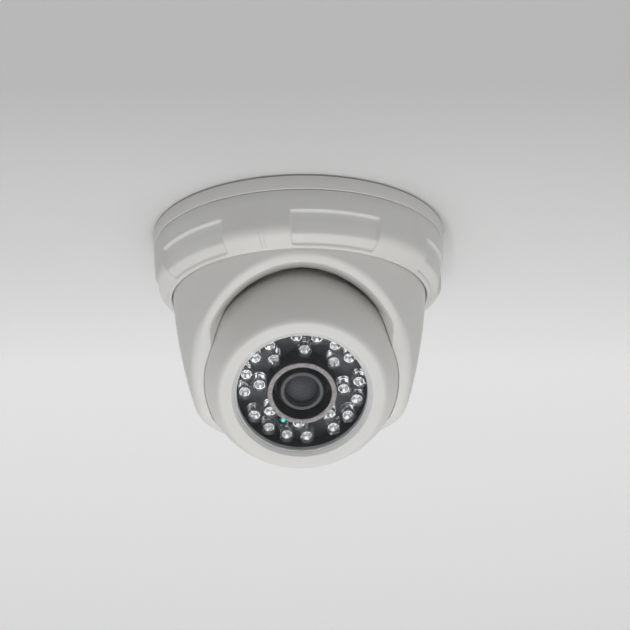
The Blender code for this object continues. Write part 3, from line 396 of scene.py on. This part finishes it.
# each row holds a point of the plain section and the same point inside a scoop
plainArc = arc(coverRing["bendCentre"], coverRing["bend"], 0, -50, 12)
ringRows = [
    ((53.0, -5.9), (53.0, -5.9)),
    ((54.55, -5.9), (54.55, -5.9)),
    ((54.7, -5.95), (54.7, -5.95)),
    ((54.75, -6.1), (54.75, -6.1)),
    ((54.66, -10.0), (54.66, -10.0)),
    ((54.6, -13.2), (54.6, -13.2)),
    ((54.6, -13.5), (54.58, -13.5)),
    ((54.6, -13.75), (54.45, -13.72)),
    ((54.6, -14.0), (54.2, -13.85)),
    ((54.59, -14.2), (53.75, -14.03)),
    ((54.58, -14.45), (53.52, -14.2)),
    ((54.58, -14.7), (53.42, -14.45)),
    ((54.57, -15.0), (53.38, -14.8)),
    ((54.55, -17.5), (53.28, -17.4)),
    ((54.54, -17.8), (53.26, -17.8)),
    ((54.5, -19.19), (53.05, -19.6)),
    (plainArc[2], (52.85, -20.9)),
    (plainArc[4], (52.72, -21.7)),
    (plainArc[6], (52.60, -22.2)),
    (plainArc[7], (52.42, -22.5)),
    (plainArc[8], (52.18, -22.76)),
    (plainArc[9], (51.9, -23.02)),
    (plainArc[11], (51.3, -23.5)),
    ((51.4, -24.35), (50.6, -24.06)),
    ((50.5, -25.1), (49.9, -24.62)),
    ((50.15, -25.39), (49.68, -24.82)),
    ((49.9, -25.6), (49.6, -24.98)),
    ((49.75, -25.73), (49.58, -25.4)),
    ((49.62, -25.84), (49.55, -25.72)),
    ((49.45, -25.98), (49.42, -25.95)),
    ((49.25, -26.14), (49.25, -26.14)),
    ((48.95, -26.36), (48.95, -26.36)),
    ((48.75, -26.46), (48.75, -26.46)),
    ((48.5, -26.5), (48.5, -26.5)),
    ((48.25, -26.42), (48.25, -26.42)),
    ((48.06, -26.25), (48.06, -26.25)),
    ((48.0, -26.0), (48.0, -26.0)),
    ((48.0, -19.49), (48.0, -19.49)),
    ((50.6, -19.49), (50.6, -19.49)),
    ((52.3, -16.99), (52.3, -16.99)),
    ((52.55, -5.9), (52.55, -5.9)),
]
scoopMiddles = [coverRing["first"] + 180 * group + coverRing["pitch"] * step - 90
                for group in (0, 1) for step in (-1, 0, 1)]
endShares = ((-1.0, 1.0), (-0.6, 0.96), (-0.3, 0.8), (0.0, 0.5), (0.3, 0.2), (0.6, 0.04), (1.0, 0.0))
columns = []
for middle in scoopMiddles:
    half = coverRing["span"] / 2
    for side in (-1, 1):
        for share, depth in endShares:
            columns.append((middle + side * (half + share * coverRing["end"]), depth))
    inner = half - coverRing["end"]
    columns += [(middle + inner * (2 * k / 14 - 1), 1.0) for k in range(1, 14)]
starts = sorted((middle - coverRing["span"] / 2 - coverRing["end"]) % 360 for middle in scoopMiddles)
ends = sorted((middle + coverRing["span"] / 2 + coverRing["end"]) % 360 for middle in scoopMiddles)
for finish in ends:
    gap = min((begin - finish) % 360 for begin in starts)
    count = max(3, round(gap / 2.2))
    columns += [(finish + gap * k / count, 0.0) for k in range(1, count)]
columns = sorted((angle % 360, depth) for angle, depth in columns)


def ringSection(column):
    angle, depth = column
    offset = min(((angle - middle + 180) % 360 - 180 for middle in scoopMiddles), key=abs)
    away = abs(abs(offset) - coverRing["span"] / 2)
    near = max(0.0, 1 - away / coverRing["spread"])
    loop = []
    for plain, sunk in ringRows:
        # lower corners of a scoop are rounded in plan
        rise = max(0.0, coverRing["corner"] - max(0.0, sunk[1] - coverRing["cornerFoot"]))
        shift = coverRing["corner"] - math.sqrt(max(0.0, coverRing["corner"] ** 2 - rise ** 2))
        swing = math.degrees(shift / coverRing["cornerReach"]) * near * (1 if offset > 0 else -1)
        radius = plain[0] + (sunk[0] - plain[0]) * depth
        height = plain[1] + (sunk[1] - plain[1]) * depth
        loop.append((radius, height, math.radians(angle - swing)))
    return loop


ring = sweepPiece("coverRing", columns, ringSection, 50)

tickForm = {"angles": (-107.1, -105.6), "line": ((53.75, -21.4), (51.75, -23.8), (49.3, -26.0)),
            "width": 0.55, "height": 1.0, "edge": 0.12}
bars = [(angle, *ends) for angle in tickForm["angles"] for ends in zip(tickForm["line"], tickForm["line"][1:])]
ticks = []
for angle, (outR, outZ), (inR, inZ) in bars:
    deselectAll()
    bpy.ops.mesh.primitive_cube_add(size=1)
    tick = bpy.context.object
    tick.scale = (math.dist((outR, outZ), (inR, inZ)) * mm, tickForm["width"] * mm, tickForm["height"] * mm)
    bpy.ops.object.transform_apply(location=False, rotation=False, scale=True)
    bpy.ops.object.mode_set(mode="EDIT")
    bpy.ops.mesh.select_all(action="SELECT")
    bpy.ops.mesh.bevel(offset=tickForm["edge"] * mm, segments=3)
    bpy.ops.object.mode_set(mode="OBJECT")
    tick.rotation_euler = (0, math.atan2(inZ - outZ, outR - inR), math.radians(angle))
    middle = (outR + inR) / 2 * mm
    tick.location = (middle * math.cos(math.radians(angle)), middle * math.sin(math.radians(angle)),
                     (outZ + inZ) / 2 * mm)
    bpy.ops.object.transform_apply(location=True, rotation=True, scale=True)
    bpy.ops.object.shade_smooth_by_angle(angle=math.radians(35))
    ticks.append(tick)
makeActive(ring)
for tick in ticks:
    tick.select_set(True)
bpy.ops.object.join()
settle(ring, "ring", "white_housing", whitePlastic, "cover_ring")

print("hood")
hoodForm = {"radius": 48.3, "widest": -7.7, "height": 106.3, "neck": 47.6, "neckFoot": -25.74, "flange": 49.8,
            "flangeTop": -16.99, "flangeFoot": -19.19, "cavity": 45.3, "coneTop": -30.0,
            "socket": 38.15, "socketBend": 5.0, "rim": -72.0, "archTop": -28.15, "archPitch": 48.6, "archCorner": 10.0,
            "outerRound": 1.2, "rimRound": 2.4, "innerRound": 0.25,
            "flat": 2.0, "curl": 2.6, "lipGap": 0.3, "lipEnd": (51.0, 63.0)}
# where the turned-in lip of the arch comes close to the ball: degrees from the front, radius, height
lipEdge = [(0, 29.0, -25.9), (12, 29.4, -26.6), (24, 30.6, -28.4), (35, 31.9, -31.1), (45, 33.0, -34.3),
           (52, 35.0, -38.7), (56, 36.9, -44.7), (60, 37.8, -50.1), (67, 37.9, -53.2),
           (74, 37.9, -55.4), (181, 37.9, -55.4)]


def hoodOutside(z):
    if z > hoodForm["neckFoot"]:
        return hoodForm["neck"]
    return hoodForm["radius"] * math.sqrt(1 - ((z - hoodForm["widest"]) / hoodForm["height"]) ** 2)


def hoodInside(z):
    if z > hoodForm["coneTop"]:
        return hoodForm["cavity"]
    if z > ball["centre"]:
        bend = hoodForm["socketBend"]
        rise = z - ball["centre"]
        slope = (hoodForm["cavity"] - hoodForm["socket"]) / (hoodForm["coneTop"] - ball["centre"] - bend / 2)
        flare = rise ** 2 / (2 * bend) if rise < bend else rise - bend / 2
        return hoodForm["socket"] + slope * flare
    return math.sqrt(hoodForm["socket"] ** 2 - (z - ball["centre"]) ** 2)


archSlope = 1 / math.tan(math.radians(hoodForm["archPitch"]))
archFront = -hoodOutside(hoodForm["archTop"])
archTurn = math.radians(90 - hoodForm["archPitch"])
bendMiddle = (archFront + (hoodForm["archTop"] - hoodForm["rim"]) / archSlope
              + hoodForm["archCorner"] * math.tan(archTurn / 2))


def archHeight(y):
    if y > bendMiddle:
        return hoodForm["rim"]
    if y > bendMiddle - hoodForm["archCorner"] * math.sin(archTurn):
        drop = math.sqrt(hoodForm["archCorner"] ** 2 - (y - bendMiddle) ** 2)
        return hoodForm["rim"] + hoodForm["archCorner"] - drop
    return hoodForm["archTop"] - (y - archFront) * archSlope


def meetArch(surface, angle):
    low, high = hoodForm["rim"] - 2, hoodForm["archTop"] + 4
    for _ in range(50):
        middle = (low + high) / 2
        if middle < archHeight(surface(middle) * math.sin(angle)):
            low = middle
        else:
            high = middle
    return surface(low), low


def plainLoop(outer, inner):
    width = math.dist(outer, inner)
    across = ((inner[0] - outer[0]) / width, (inner[1] - outer[1]) / width)
    innerRound = min(hoodForm["innerRound"], width * 0.45)
    innerLip = (inner[0] - across[0] * innerRound, inner[1] - across[1] * innerRound)
    roof = inner[1] + innerRound
    rise = hoodForm["flangeTop"] - roof
    loop = rounded(innerLip, inner, (hoodInside(roof), roof), 14)
    return loop + [(hoodInside(roof + rise * k / 20), roof + rise * k / 20) for k in range(1, 20)]


def lipLoop(outer, away):
    for low, high in zip(lipEdge, lipEdge[1:]):
        if low[0] <= away <= high[0]:
            share = (away - low[0]) / (high[0] - low[0])
            tip = [low[axis] + (high[axis] - low[axis]) * share for axis in (1, 2)]
            break
    tip[0] += hoodForm["lipGap"]
    fall = archSlope * math.cos(math.radians(away))
    begin = (outer[0] - hoodForm["flat"], outer[1] - hoodForm["flat"] * fall)
    curl = (outer[0] - hoodForm["curl"], outer[1] - hoodForm["curl"] * fall)
    behind = (min(hoodForm["cavity"], hoodOutside(outer[1] + 4) - 1.5), outer[1] + 4)
    turn = tuple(curl[axis] + (tip[axis] - curl[axis]) * 0.05 for axis in (0, 1))
    loop = rounded(begin, curl, turn, 8)
    loop += [tuple(turn[axis] + (tip[axis] - turn[axis]) * k / 6 for axis in (0, 1)) for k in range(1, 7)]
    loop += rounded(tip, (tip[0] - 0.1, tip[1] + 1.2), (tip[0] + 1, tip[1] + 1.5), 5)[1:]
    corner = loop[-1]
    loop += [tuple(corner[axis] + (behind[axis] - corner[axis]) * k / 5 for axis in (0, 1)) for k in range(1, 6)]
    rise = hoodForm["flangeTop"] - behind[1]
    spread = hoodForm["cavity"] - behind[0]
    return loop + [(behind[0] + spread * k / 11, behind[1] + rise * k / 11) for k in range(1, 11)]


def fromFront(angle):
    return abs((math.degrees(angle) + 270) % 360 - 180)


def hoodSection(angle):
    away = fromFront(angle)
    outer = meetArch(hoodOutside, angle)
    inner = meetArch(hoodInside, angle)
    width = math.dist(outer, inner)
    across = ((inner[0] - outer[0]) / width, (inner[1] - outer[1]) / width)
    begin, finish = hoodForm["lipEnd"]
    share = min(1.0, max(0.0, (away - begin) / (finish - begin)))
    share = share * share * (3 - 2 * share)
    outerRound = min(hoodForm["outerRound"] + hoodForm["rimRound"] * share, width * (0.45 + 0.3 * share))
    outerLip = (outer[0] + across[0] * outerRound, outer[1] + across[1] * outerRound)
    foot = outer[1] + outerRound
    loop = [(hoodForm["cavity"], hoodForm["flangeTop"]), (hoodForm["flange"], hoodForm["flangeTop"]),
            (hoodForm["flange"], hoodForm["flangeFoot"]), (hoodForm["neck"], hoodForm["flangeFoot"])]
    start = hoodForm["neckFoot"]
    loop += [(hoodOutside(start + (foot - start) * k / 24), start + (foot - start) * k / 24) for k in range(24)]
    loop += rounded((hoodOutside(foot), foot), outer, outerLip, 7)
    for lip, plain in zip(lipLoop(outer, away), plainLoop(outer, inner)):
        loop.append(tuple(lip[axis] + (plain[axis] - lip[axis]) * share for axis in (0, 1)))
    return [(radius, height, angle) for radius, height in loop]


hood = sweepPiece("hood", [2 * math.pi * k / 240 for k in range(240)], hoodSection, 40)
settle(hood, "turret", "white_housing", [whitePlastic, lipShadowPlastic], "hood")
# the lip's turned-in faces take the copy of the white plastic with painted shade
for face in hood.data.polygons:
    x, y = (face.center / mm).xy
    angle = math.atan2(y, x)
    fold = meetArch(hoodOutside, angle)[0] - hoodForm["curl"]
    if fromFront(angle) < hoodForm["lipEnd"][0] + 2 and math.hypot(x, y) < fold - 0.1:
        face.material_index = 1

print("ball shells")
frontShell = {"radius": 37.95, "wall": 2.2, "face": 22.0, "flat": 29.8, "corner": 31.0, "shoulder": 20.19,
              "mouth": 26.1, "sight": 24.1, "ledge": 19.8, "innerFace": 18.2, "seam": -20.0}
ballRadius = frontShell["radius"]
cave = ballRadius - frontShell["wall"]
shoulderAngle = math.degrees(math.asin(frontShell["shoulder"] / ballRadius))
seamAngle = math.degrees(math.asin(frontShell["seam"] / ballRadius))
shellSection = [
    (frontShell["sight"], frontShell["innerFace"]),
    *rounded((frontShell["sight"], frontShell["ledge"] - 0.1), (frontShell["sight"], frontShell["ledge"]),
             (frontShell["sight"] + 0.1, frontShell["ledge"] + 0.12), 3),
    *rounded((frontShell["mouth"] - 0.13, frontShell["face"] - 0.15), (frontShell["mouth"], frontShell["face"]),
             (frontShell["mouth"] + 0.15, frontShell["face"]), 4),
    *rounded((frontShell["flat"], frontShell["face"]), (frontShell["corner"], frontShell["face"]),
             (ballRadius * math.cos(math.radians(shoulderAngle)), frontShell["shoulder"]), 10),
    *arc((0, 0), ballRadius, shoulderAngle - 1.5, seamAngle + 0.4, 44),
    (ballRadius * math.cos(math.radians(seamAngle)) - 0.2, frontShell["seam"]),
    *arc((0, 0), cave, math.degrees(math.asin(frontShell["seam"] / cave)),
         math.degrees(math.asin(frontShell["innerFace"] / cave)), 24),
    (frontShell["sight"], frontShell["innerFace"]),
]
shell = turnPiece("ballFront", shellSection, 200)
layOnBall(shell)
settle(shell, "camera_ball", "white_housing", whitePlastic, "ball_front_shell")

rearShell = {"seam": -20.3, "spigot": 29.33, "spigotWall": 1.4, "spigotLength": 3.0, "hole": 4.5}
rearStart = math.degrees(math.asin(rearShell["seam"] / ballRadius))
rearInner = rearShell["spigot"] - rearShell["spigotWall"]
rearSection = [
    (rearShell["spigot"], rearShell["seam"] + rearShell["spigotLength"]),
    (rearShell["spigot"], rearShell["seam"]),
    (ballRadius * math.cos(math.radians(rearStart)) - 0.2, rearShell["seam"]),
    *arc((0, 0), ballRadius, rearStart - 0.4, -math.degrees(math.acos((rearShell["hole"] + 0.3) / ballRadius)), 28),
    (rearShell["hole"], -ballRadius + 0.5),
    *arc((0, 0), cave, -math.degrees(math.acos(rearShell["hole"] / cave)),
         -math.degrees(math.acos(rearInner / cave)), 20),
    (rearInner, rearShell["seam"] + rearShell["spigotLength"]),
    (rearShell["spigot"], rearShell["seam"] + rearShell["spigotLength"]),
]
rear = turnPiece("ballRear", rearSection, 160)
layOnBall(rear)
settle(rear, "camera_ball", "white_housing", whitePlastic, "ball_rear_shell")

print("window")
windowForm = {"radius": 25.8, "foot": 24.9, "front": 21.8, "back": 20.8, "edge": 0.1}
edge = windowForm["edge"]
windowSection = [
    (0, windowForm["front"]),
    *rounded((windowForm["radius"] - edge, windowForm["front"]), (windowForm["radius"], windowForm["front"]),
             (windowForm["radius"], windowForm["front"] - edge), 3),
    *rounded((windowForm["foot"] + edge, windowForm["back"] + edge), (windowForm["foot"], windowForm["back"]),
             (windowForm["foot"] - edge, windowForm["back"]), 3),
    (0, windowForm["back"]),
]
window = turnPiece("window", windowSection, 128)
layOnBall(window)
settle(window, "camera_ball", "window_acrylic", [acrylic, silicone], "window")
# the pane's slanted side is frosted white
sight = Vector((0, -math.cos(math.radians(ball["pitch"])), -math.sin(math.radians(ball["pitch"]))))
for face in window.data.polygons:
    if abs(face.normal.dot(sight)) < 0.9:
        face.material_index = 1

print("lamps")
lampForm = {"radius": 2.5, "flange": 2.8, "flangeThickness": 1.0, "length": 8.2, "seat": 10.4,
            "cupTop": 4.9, "cupDepth": 0.9, "cupMouth": 1.05, "cupFloor": 0.5,
            "postWidth": 0.42, "postDepth": 0.672, "postLength": 4.2, "postOut": -1.55, "postMiddle": 2.4,
            "postEdge": 0.08,
            "outerReach": 21.2, "outerFirst": 64.9, "outerStep": 20.4, "innerReach": 15.6, "innerFirst": 86.5}
lampSection = [
    (0, 0),
    (lampForm["flange"] - 0.1, 0),
    (lampForm["flange"], 0.1),
    (lampForm["flange"], lampForm["flangeThickness"] - 0.15),
    (lampForm["flange"] - 0.12, lampForm["flangeThickness"]),
    (lampForm["radius"], lampForm["flangeThickness"] + 0.05),
    *arc((0, lampForm["length"] - lampForm["radius"]), lampForm["radius"], 0, 88, 16),
    (0, lampForm["length"]),
]
cupTop = lampForm["cupTop"]
cupFoot = cupTop - lampForm["cupDepth"]
cupSection = [
    (0, cupFoot),
    (lampForm["cupFloor"], cupFoot),
    (lampForm["cupMouth"], cupTop),
    (lampForm["cupMouth"] + 0.12, cupTop - 0.05),
    (lampForm["cupMouth"] + 0.12, cupFoot - 0.5),
    (0.3, cupFoot - 0.9),
    (0.3, 0.3),
    (0, 0.3),
]
dieSection = [(0, cupFoot + 0.32), (0.24, cupFoot + 0.32), (0.24, cupFoot + 0.02), (0, cupFoot + 0.02)]


def lampMesh(name):
    body = turnPiece(name, lampSection, 32)
    body.data.materials.append(resin)
    cup = turnPiece(name + "Cup", cupSection, 9, 8)
    die = turnPiece(name + "Die", dieSection, 4)
    deselectAll()
    bpy.ops.mesh.primitive_cube_add(size=1, location=(lampForm["postOut"] * mm, 0, lampForm["postMiddle"] * mm))
    post = bpy.context.object
    post.scale = (lampForm["postDepth"] * mm, lampForm["postWidth"] * mm, lampForm["postLength"] * mm)
    bpy.ops.object.transform_apply(location=True, rotation=True, scale=True)
    bpy.ops.object.mode_set(mode="EDIT")
    bpy.ops.mesh.select_all(action="SELECT")
    bpy.ops.mesh.bevel(offset=lampForm["postEdge"] * mm, segments=2)
    bpy.ops.object.mode_set(mode="OBJECT")
    for inner in (cup, post):
        inner.data.materials.append(silver)
    die.data.materials.append(steel)
    makeActive(body)
    for inner in (cup, die, post):
        inner.select_set(True)
    bpy.ops.object.join()
    return bpy.context.object


lampSpots = []
for group in range(4):
    for step in (1.5, 0.5, -0.5, -1.5):
        lampSpots.append((lampForm["outerReach"], lampForm["outerFirst"] - 90 * group + step * lampForm["outerStep"]))
lampSpots += [(lampForm["innerReach"], lampForm["innerFirst"] + 45 * k) for k in range(8)]
firstLamp = lampMesh("lamp01")
lamps = [firstLamp]
for number in range(2, len(lampSpots) + 1):
    makeActive(firstLamp)
    bpy.ops.object.duplicate(linked=False)
    copy = bpy.context.object
    copy.name = copy.data.name = f"lamp{number:02d}"
    lamps.append(copy)
for number, (lamp, (reach, angle)) in enumerate(zip(lamps, lampSpots), 1):
    makeActive(lamp)
    lamp.rotation_euler = (0, 0, math.radians(angle + 90 + 23 * (number % 3)))
    lamp.location = (reach * math.cos(math.radians(angle)) * mm, reach * math.sin(math.radians(angle)) * mm,
                     lampForm["seat"] * mm)
    bpy.ops.object.transform_apply(location=True, rotation=True, scale=True)
    layOnBall(lamp)
    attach(lamp, "camera_ball")
    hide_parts(f"ir_led_{number:02d}")

print("light sensor")
sensorForm = {"radius": 2.1, "flange": 2.4, "length": 6.0, "reach": 15.6, "angle": -116.5, "seat": 10.4}
sensorSection = [
    (0, 0),
    (sensorForm["flange"], 0),
    (sensorForm["flange"], 0.85),
    (sensorForm["flange"] - 0.1, 1.0),
    (sensorForm["radius"], 1.05),
    *arc((0, sensorForm["length"] - sensorForm["radius"]), sensorForm["radius"], 0, 88, 14),
    (0, sensorForm["length"]),
]
daySensor = turnPiece("lightSensor", sensorSection, 40)
daySensor.location = (sensorForm["reach"] * math.cos(math.radians(sensorForm["angle"])) * mm,
                      sensorForm["reach"] * math.sin(math.radians(sensorForm["angle"])) * mm, sensorForm["seat"] * mm)
makeActive(daySensor)
bpy.ops.object.transform_apply(location=True, rotation=True, scale=True)
layOnBall(daySensor)
settle(daySensor, "camera_ball", "sensor_resin", sensorResin, "light_sensor")

print("foam ring")
foamForm = {"inner": 11.0, "outer": 12.75, "front": 20.5, "back": 10.4, "edge": 0.25}
edge = foamForm["edge"]
foamWall = foamForm["front"] - edge - foamForm["back"]
foamSection = [
    (foamForm["inner"], foamForm["back"]),
    *[(foamForm["inner"], foamForm["back"] + foamWall * k / 10) for k in range(1, 10)],
    *rounded((foamForm["inner"], foamForm["front"] - edge), (foamForm["inner"], foamForm["front"]),
             (foamForm["inner"] + edge, foamForm["front"]), 4),
    ((foamForm["inner"] + foamForm["outer"]) / 2, foamForm["front"]),
    *rounded((foamForm["outer"] - edge, foamForm["front"]), (foamForm["outer"], foamForm["front"]),
             (foamForm["outer"], foamForm["front"] - edge), 4),
    *[(foamForm["outer"], foamForm["front"] - edge - foamWall * k / 10) for k in range(1, 10)],
    (foamForm["outer"], foamForm["back"]),
    (foamForm["inner"], foamForm["back"]),
]
foamRing = turnPiece("foamRing", foamSection, 220)
layOnBall(foamRing)
settle(foamRing, "camera_ball", "grey_foam", foam, "foam_light_ring")

print("lens")
lensForm = {"front": 18.7, "head": 8.0, "skirt": 9.2, "cup": 6.6, "headBack": 6.5, "thread": 6.0, "tail": -0.5,
            "bore": 3.2, "floor": 16.6, "glass": 5.8, "glassEdge": 16.3, "crown": 1.4, "seat": 15.3}
barrelSection = [
    (lensForm["cup"], lensForm["front"] - 0.1),
    (lensForm["cup"] + 0.1, lensForm["front"]),
    (lensForm["head"] - 0.25, lensForm["front"]),
    (lensForm["head"], lensForm["front"] - 0.25),
    (lensForm["head"] + 0.05, lensForm["front"] - 0.7),
    (lensForm["skirt"], lensForm["front"] - 2.6),
    (lensForm["skirt"], lensForm["headBack"]),
    (lensForm["thread"], lensForm["headBack"]),
    (lensForm["thread"], lensForm["tail"]),
    (lensForm["bore"], lensForm["tail"]),
    (lensForm["bore"], lensForm["seat"] - 0.3),
    (lensForm["glass"] + 0.3, lensForm["seat"] - 0.3),
    (lensForm["glass"] + 0.3, lensForm["floor"]),
    (lensForm["glass"] + 0.45, lensForm["floor"] + 0.1),
    (lensForm["glass"] + 0.45, lensForm["floor"] + 0.9),
    (lensForm["cup"] - 0.15, lensForm["floor"] + 1.0),
    (lensForm["cup"], lensForm["floor"] + 1.15),
    (lensForm["cup"], lensForm["front"] - 0.1),
]
barrel = turnPiece("lensBarrel", barrelSection, 96, 25)
layOnBall(barrel)
settle(barrel, "camera_ball", "black_plastic", barrelPlastic, "lens_barrel")

curve = (lensForm["glass"] ** 2 + lensForm["crown"] ** 2) / (2 * lensForm["crown"])
halfAngle = math.degrees(math.asin(lensForm["glass"] / curve))
glassSection = [
    (0, lensForm["seat"]),
    (lensForm["glass"] - 0.1, lensForm["seat"]),
    (lensForm["glass"], lensForm["seat"] + 0.1),
    *arc((0, lensForm["glassEdge"] + lensForm["crown"] - curve), curve, 90 - halfAngle, 89.6, 18),
    (0, lensForm["glassEdge"] + lensForm["crown"]),
]
glass = turnPiece("frontLens", glassSection, 96)
layOnBall(glass)
settle(glass, "camera_ball", "lens_glass", lensGlass, "front_lens")

print("pieces kept from the frame")
keptLooks = {
    "pan_brake_ring": rubber, "cable_grommet": rubber, "window_seal": silicone,
    "ball_clamp": whitePlastic, "lamp_carrier": blackPlastic, "lamp_board": lampMask,
    "lens_holder": blackPlastic, "sensor_board": sensorMask, "image_sensor": blackPlastic,
}
for kind in ("clamp_screw", "board_screw", "board_standoff"):
    keptLooks.update({f"{kind}_{number}": steel for number in (1, 2, 3)})
for name, look in keptLooks.items():
    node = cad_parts[name]
    node.data.materials.clear()
    node.data.materials.append(look)

print("stage and light")
stage = {"near": (0.60, 0.60, 0.60, 1), "far": (0.99, 0.99, 0.99, 1), "span": (0.13, -0.14),
         "glow": (0.025, 0.025, 0.025, 1), "world": 0.27, "worldSeen": 0.7, "width": 6.0, "clear": 0.0003}
# name, place, height of the point it aims at, power, size
lights = [
    ("key", (-0.05, -0.15, -1.5), -0.04, 10.0, 1.6),
    ("fill", (-1.1, -0.35, -0.25), -0.04, 1.2, 0.8),
    ("fill", (1.1, -0.35, -0.25), -0.04, 2.0, 0.8),
    ("front", (0, -1.4, -0.35), -0.04, 0.7, 1.0),
    ("back", (0, 0.9, -0.95), -0.04, 0.8, 0.8),
    ("glint", (-0.3, -0.5, -1.15), -0.06, 1.5, 0.07),
    ("top", (0.4, 0.5, 1.5), -0.04, 3.0, 1.2),
]
deselectAll()
bpy.ops.mesh.primitive_plane_add(size=stage["width"], location=(0, 0, stage["clear"]), rotation=(math.pi, 0, 0))
ceiling = bpy.context.object
ceiling.name = "ceiling"
ceiling.visible_diffuse = False
ceiling.visible_shadow = False
shadedCeiling, shader, coords = startMaterial("ceilingPaintedShade", Roughness=0.9)
# painted shade and glow: the ceiling is painted darker towards the front and brighter towards the back, with a faint
# glow that grows the same way
depth = coords.make("ShaderNodeSeparateXYZ", {0: coords}, out=1)
shade = depth.between(*stage["span"]) + coords.noise(3, 3) * 0.06 - 0.03
feed(shader, "Base Color", shade.blend(stage["near"], stage["far"]))
feed(shader, "Emission Color", shade.blend((0, 0, 0, 1), stage["glow"]))
shader.inputs["Emission Strength"].default_value = 1.0
facing = coords.make("ShaderNodeNewGeometry", out="Backfacing")
seen = coords.make("ShaderNodeMixShader", {0: facing, 1: Wire(shadedCeiling.node_tree, shader.outputs[0]),
                                           2: coords.make("ShaderNodeBsdfTransparent")})
shadedCeiling.node_tree.links.new(seen.socket, shadedCeiling.node_tree.nodes["Material Output"].inputs["Surface"])
ceiling.data.materials.append(shadedCeiling)

world = bpy.data.worlds.new("room")
bpy.context.scene.world = world
world.use_nodes = True
rays = world.node_tree.nodes.new("ShaderNodeLightPath").outputs
sky = Wire(world.node_tree, rays["Is Camera Ray"])
for kind in ("Is Glossy Ray", "Is Transmission Ray"):
    sky = sky.math("MAXIMUM", sky, Wire(world.node_tree, rays[kind]))
backgroundNode = world.node_tree.nodes["Background"]
backgroundNode.inputs["Color"].default_value = (1, 1, 1, 1)
feed(backgroundNode, "Strength", sky * (stage["worldSeen"] - stage["world"]) + stage["world"])

for name, place, aimHeight, power, size in lights:
    deselectAll()
    bpy.ops.object.light_add(type="AREA", location=place)
    light = bpy.context.object
    light.name = name
    light.data.energy = power
    light.data.size = size
    light.rotation_euler = (Vector((0, 0, aimHeight)) - Vector(place)).to_track_quat("-Z", "Y").to_euler()
bpy.context.scene.view_settings.view_transform = "Standard"
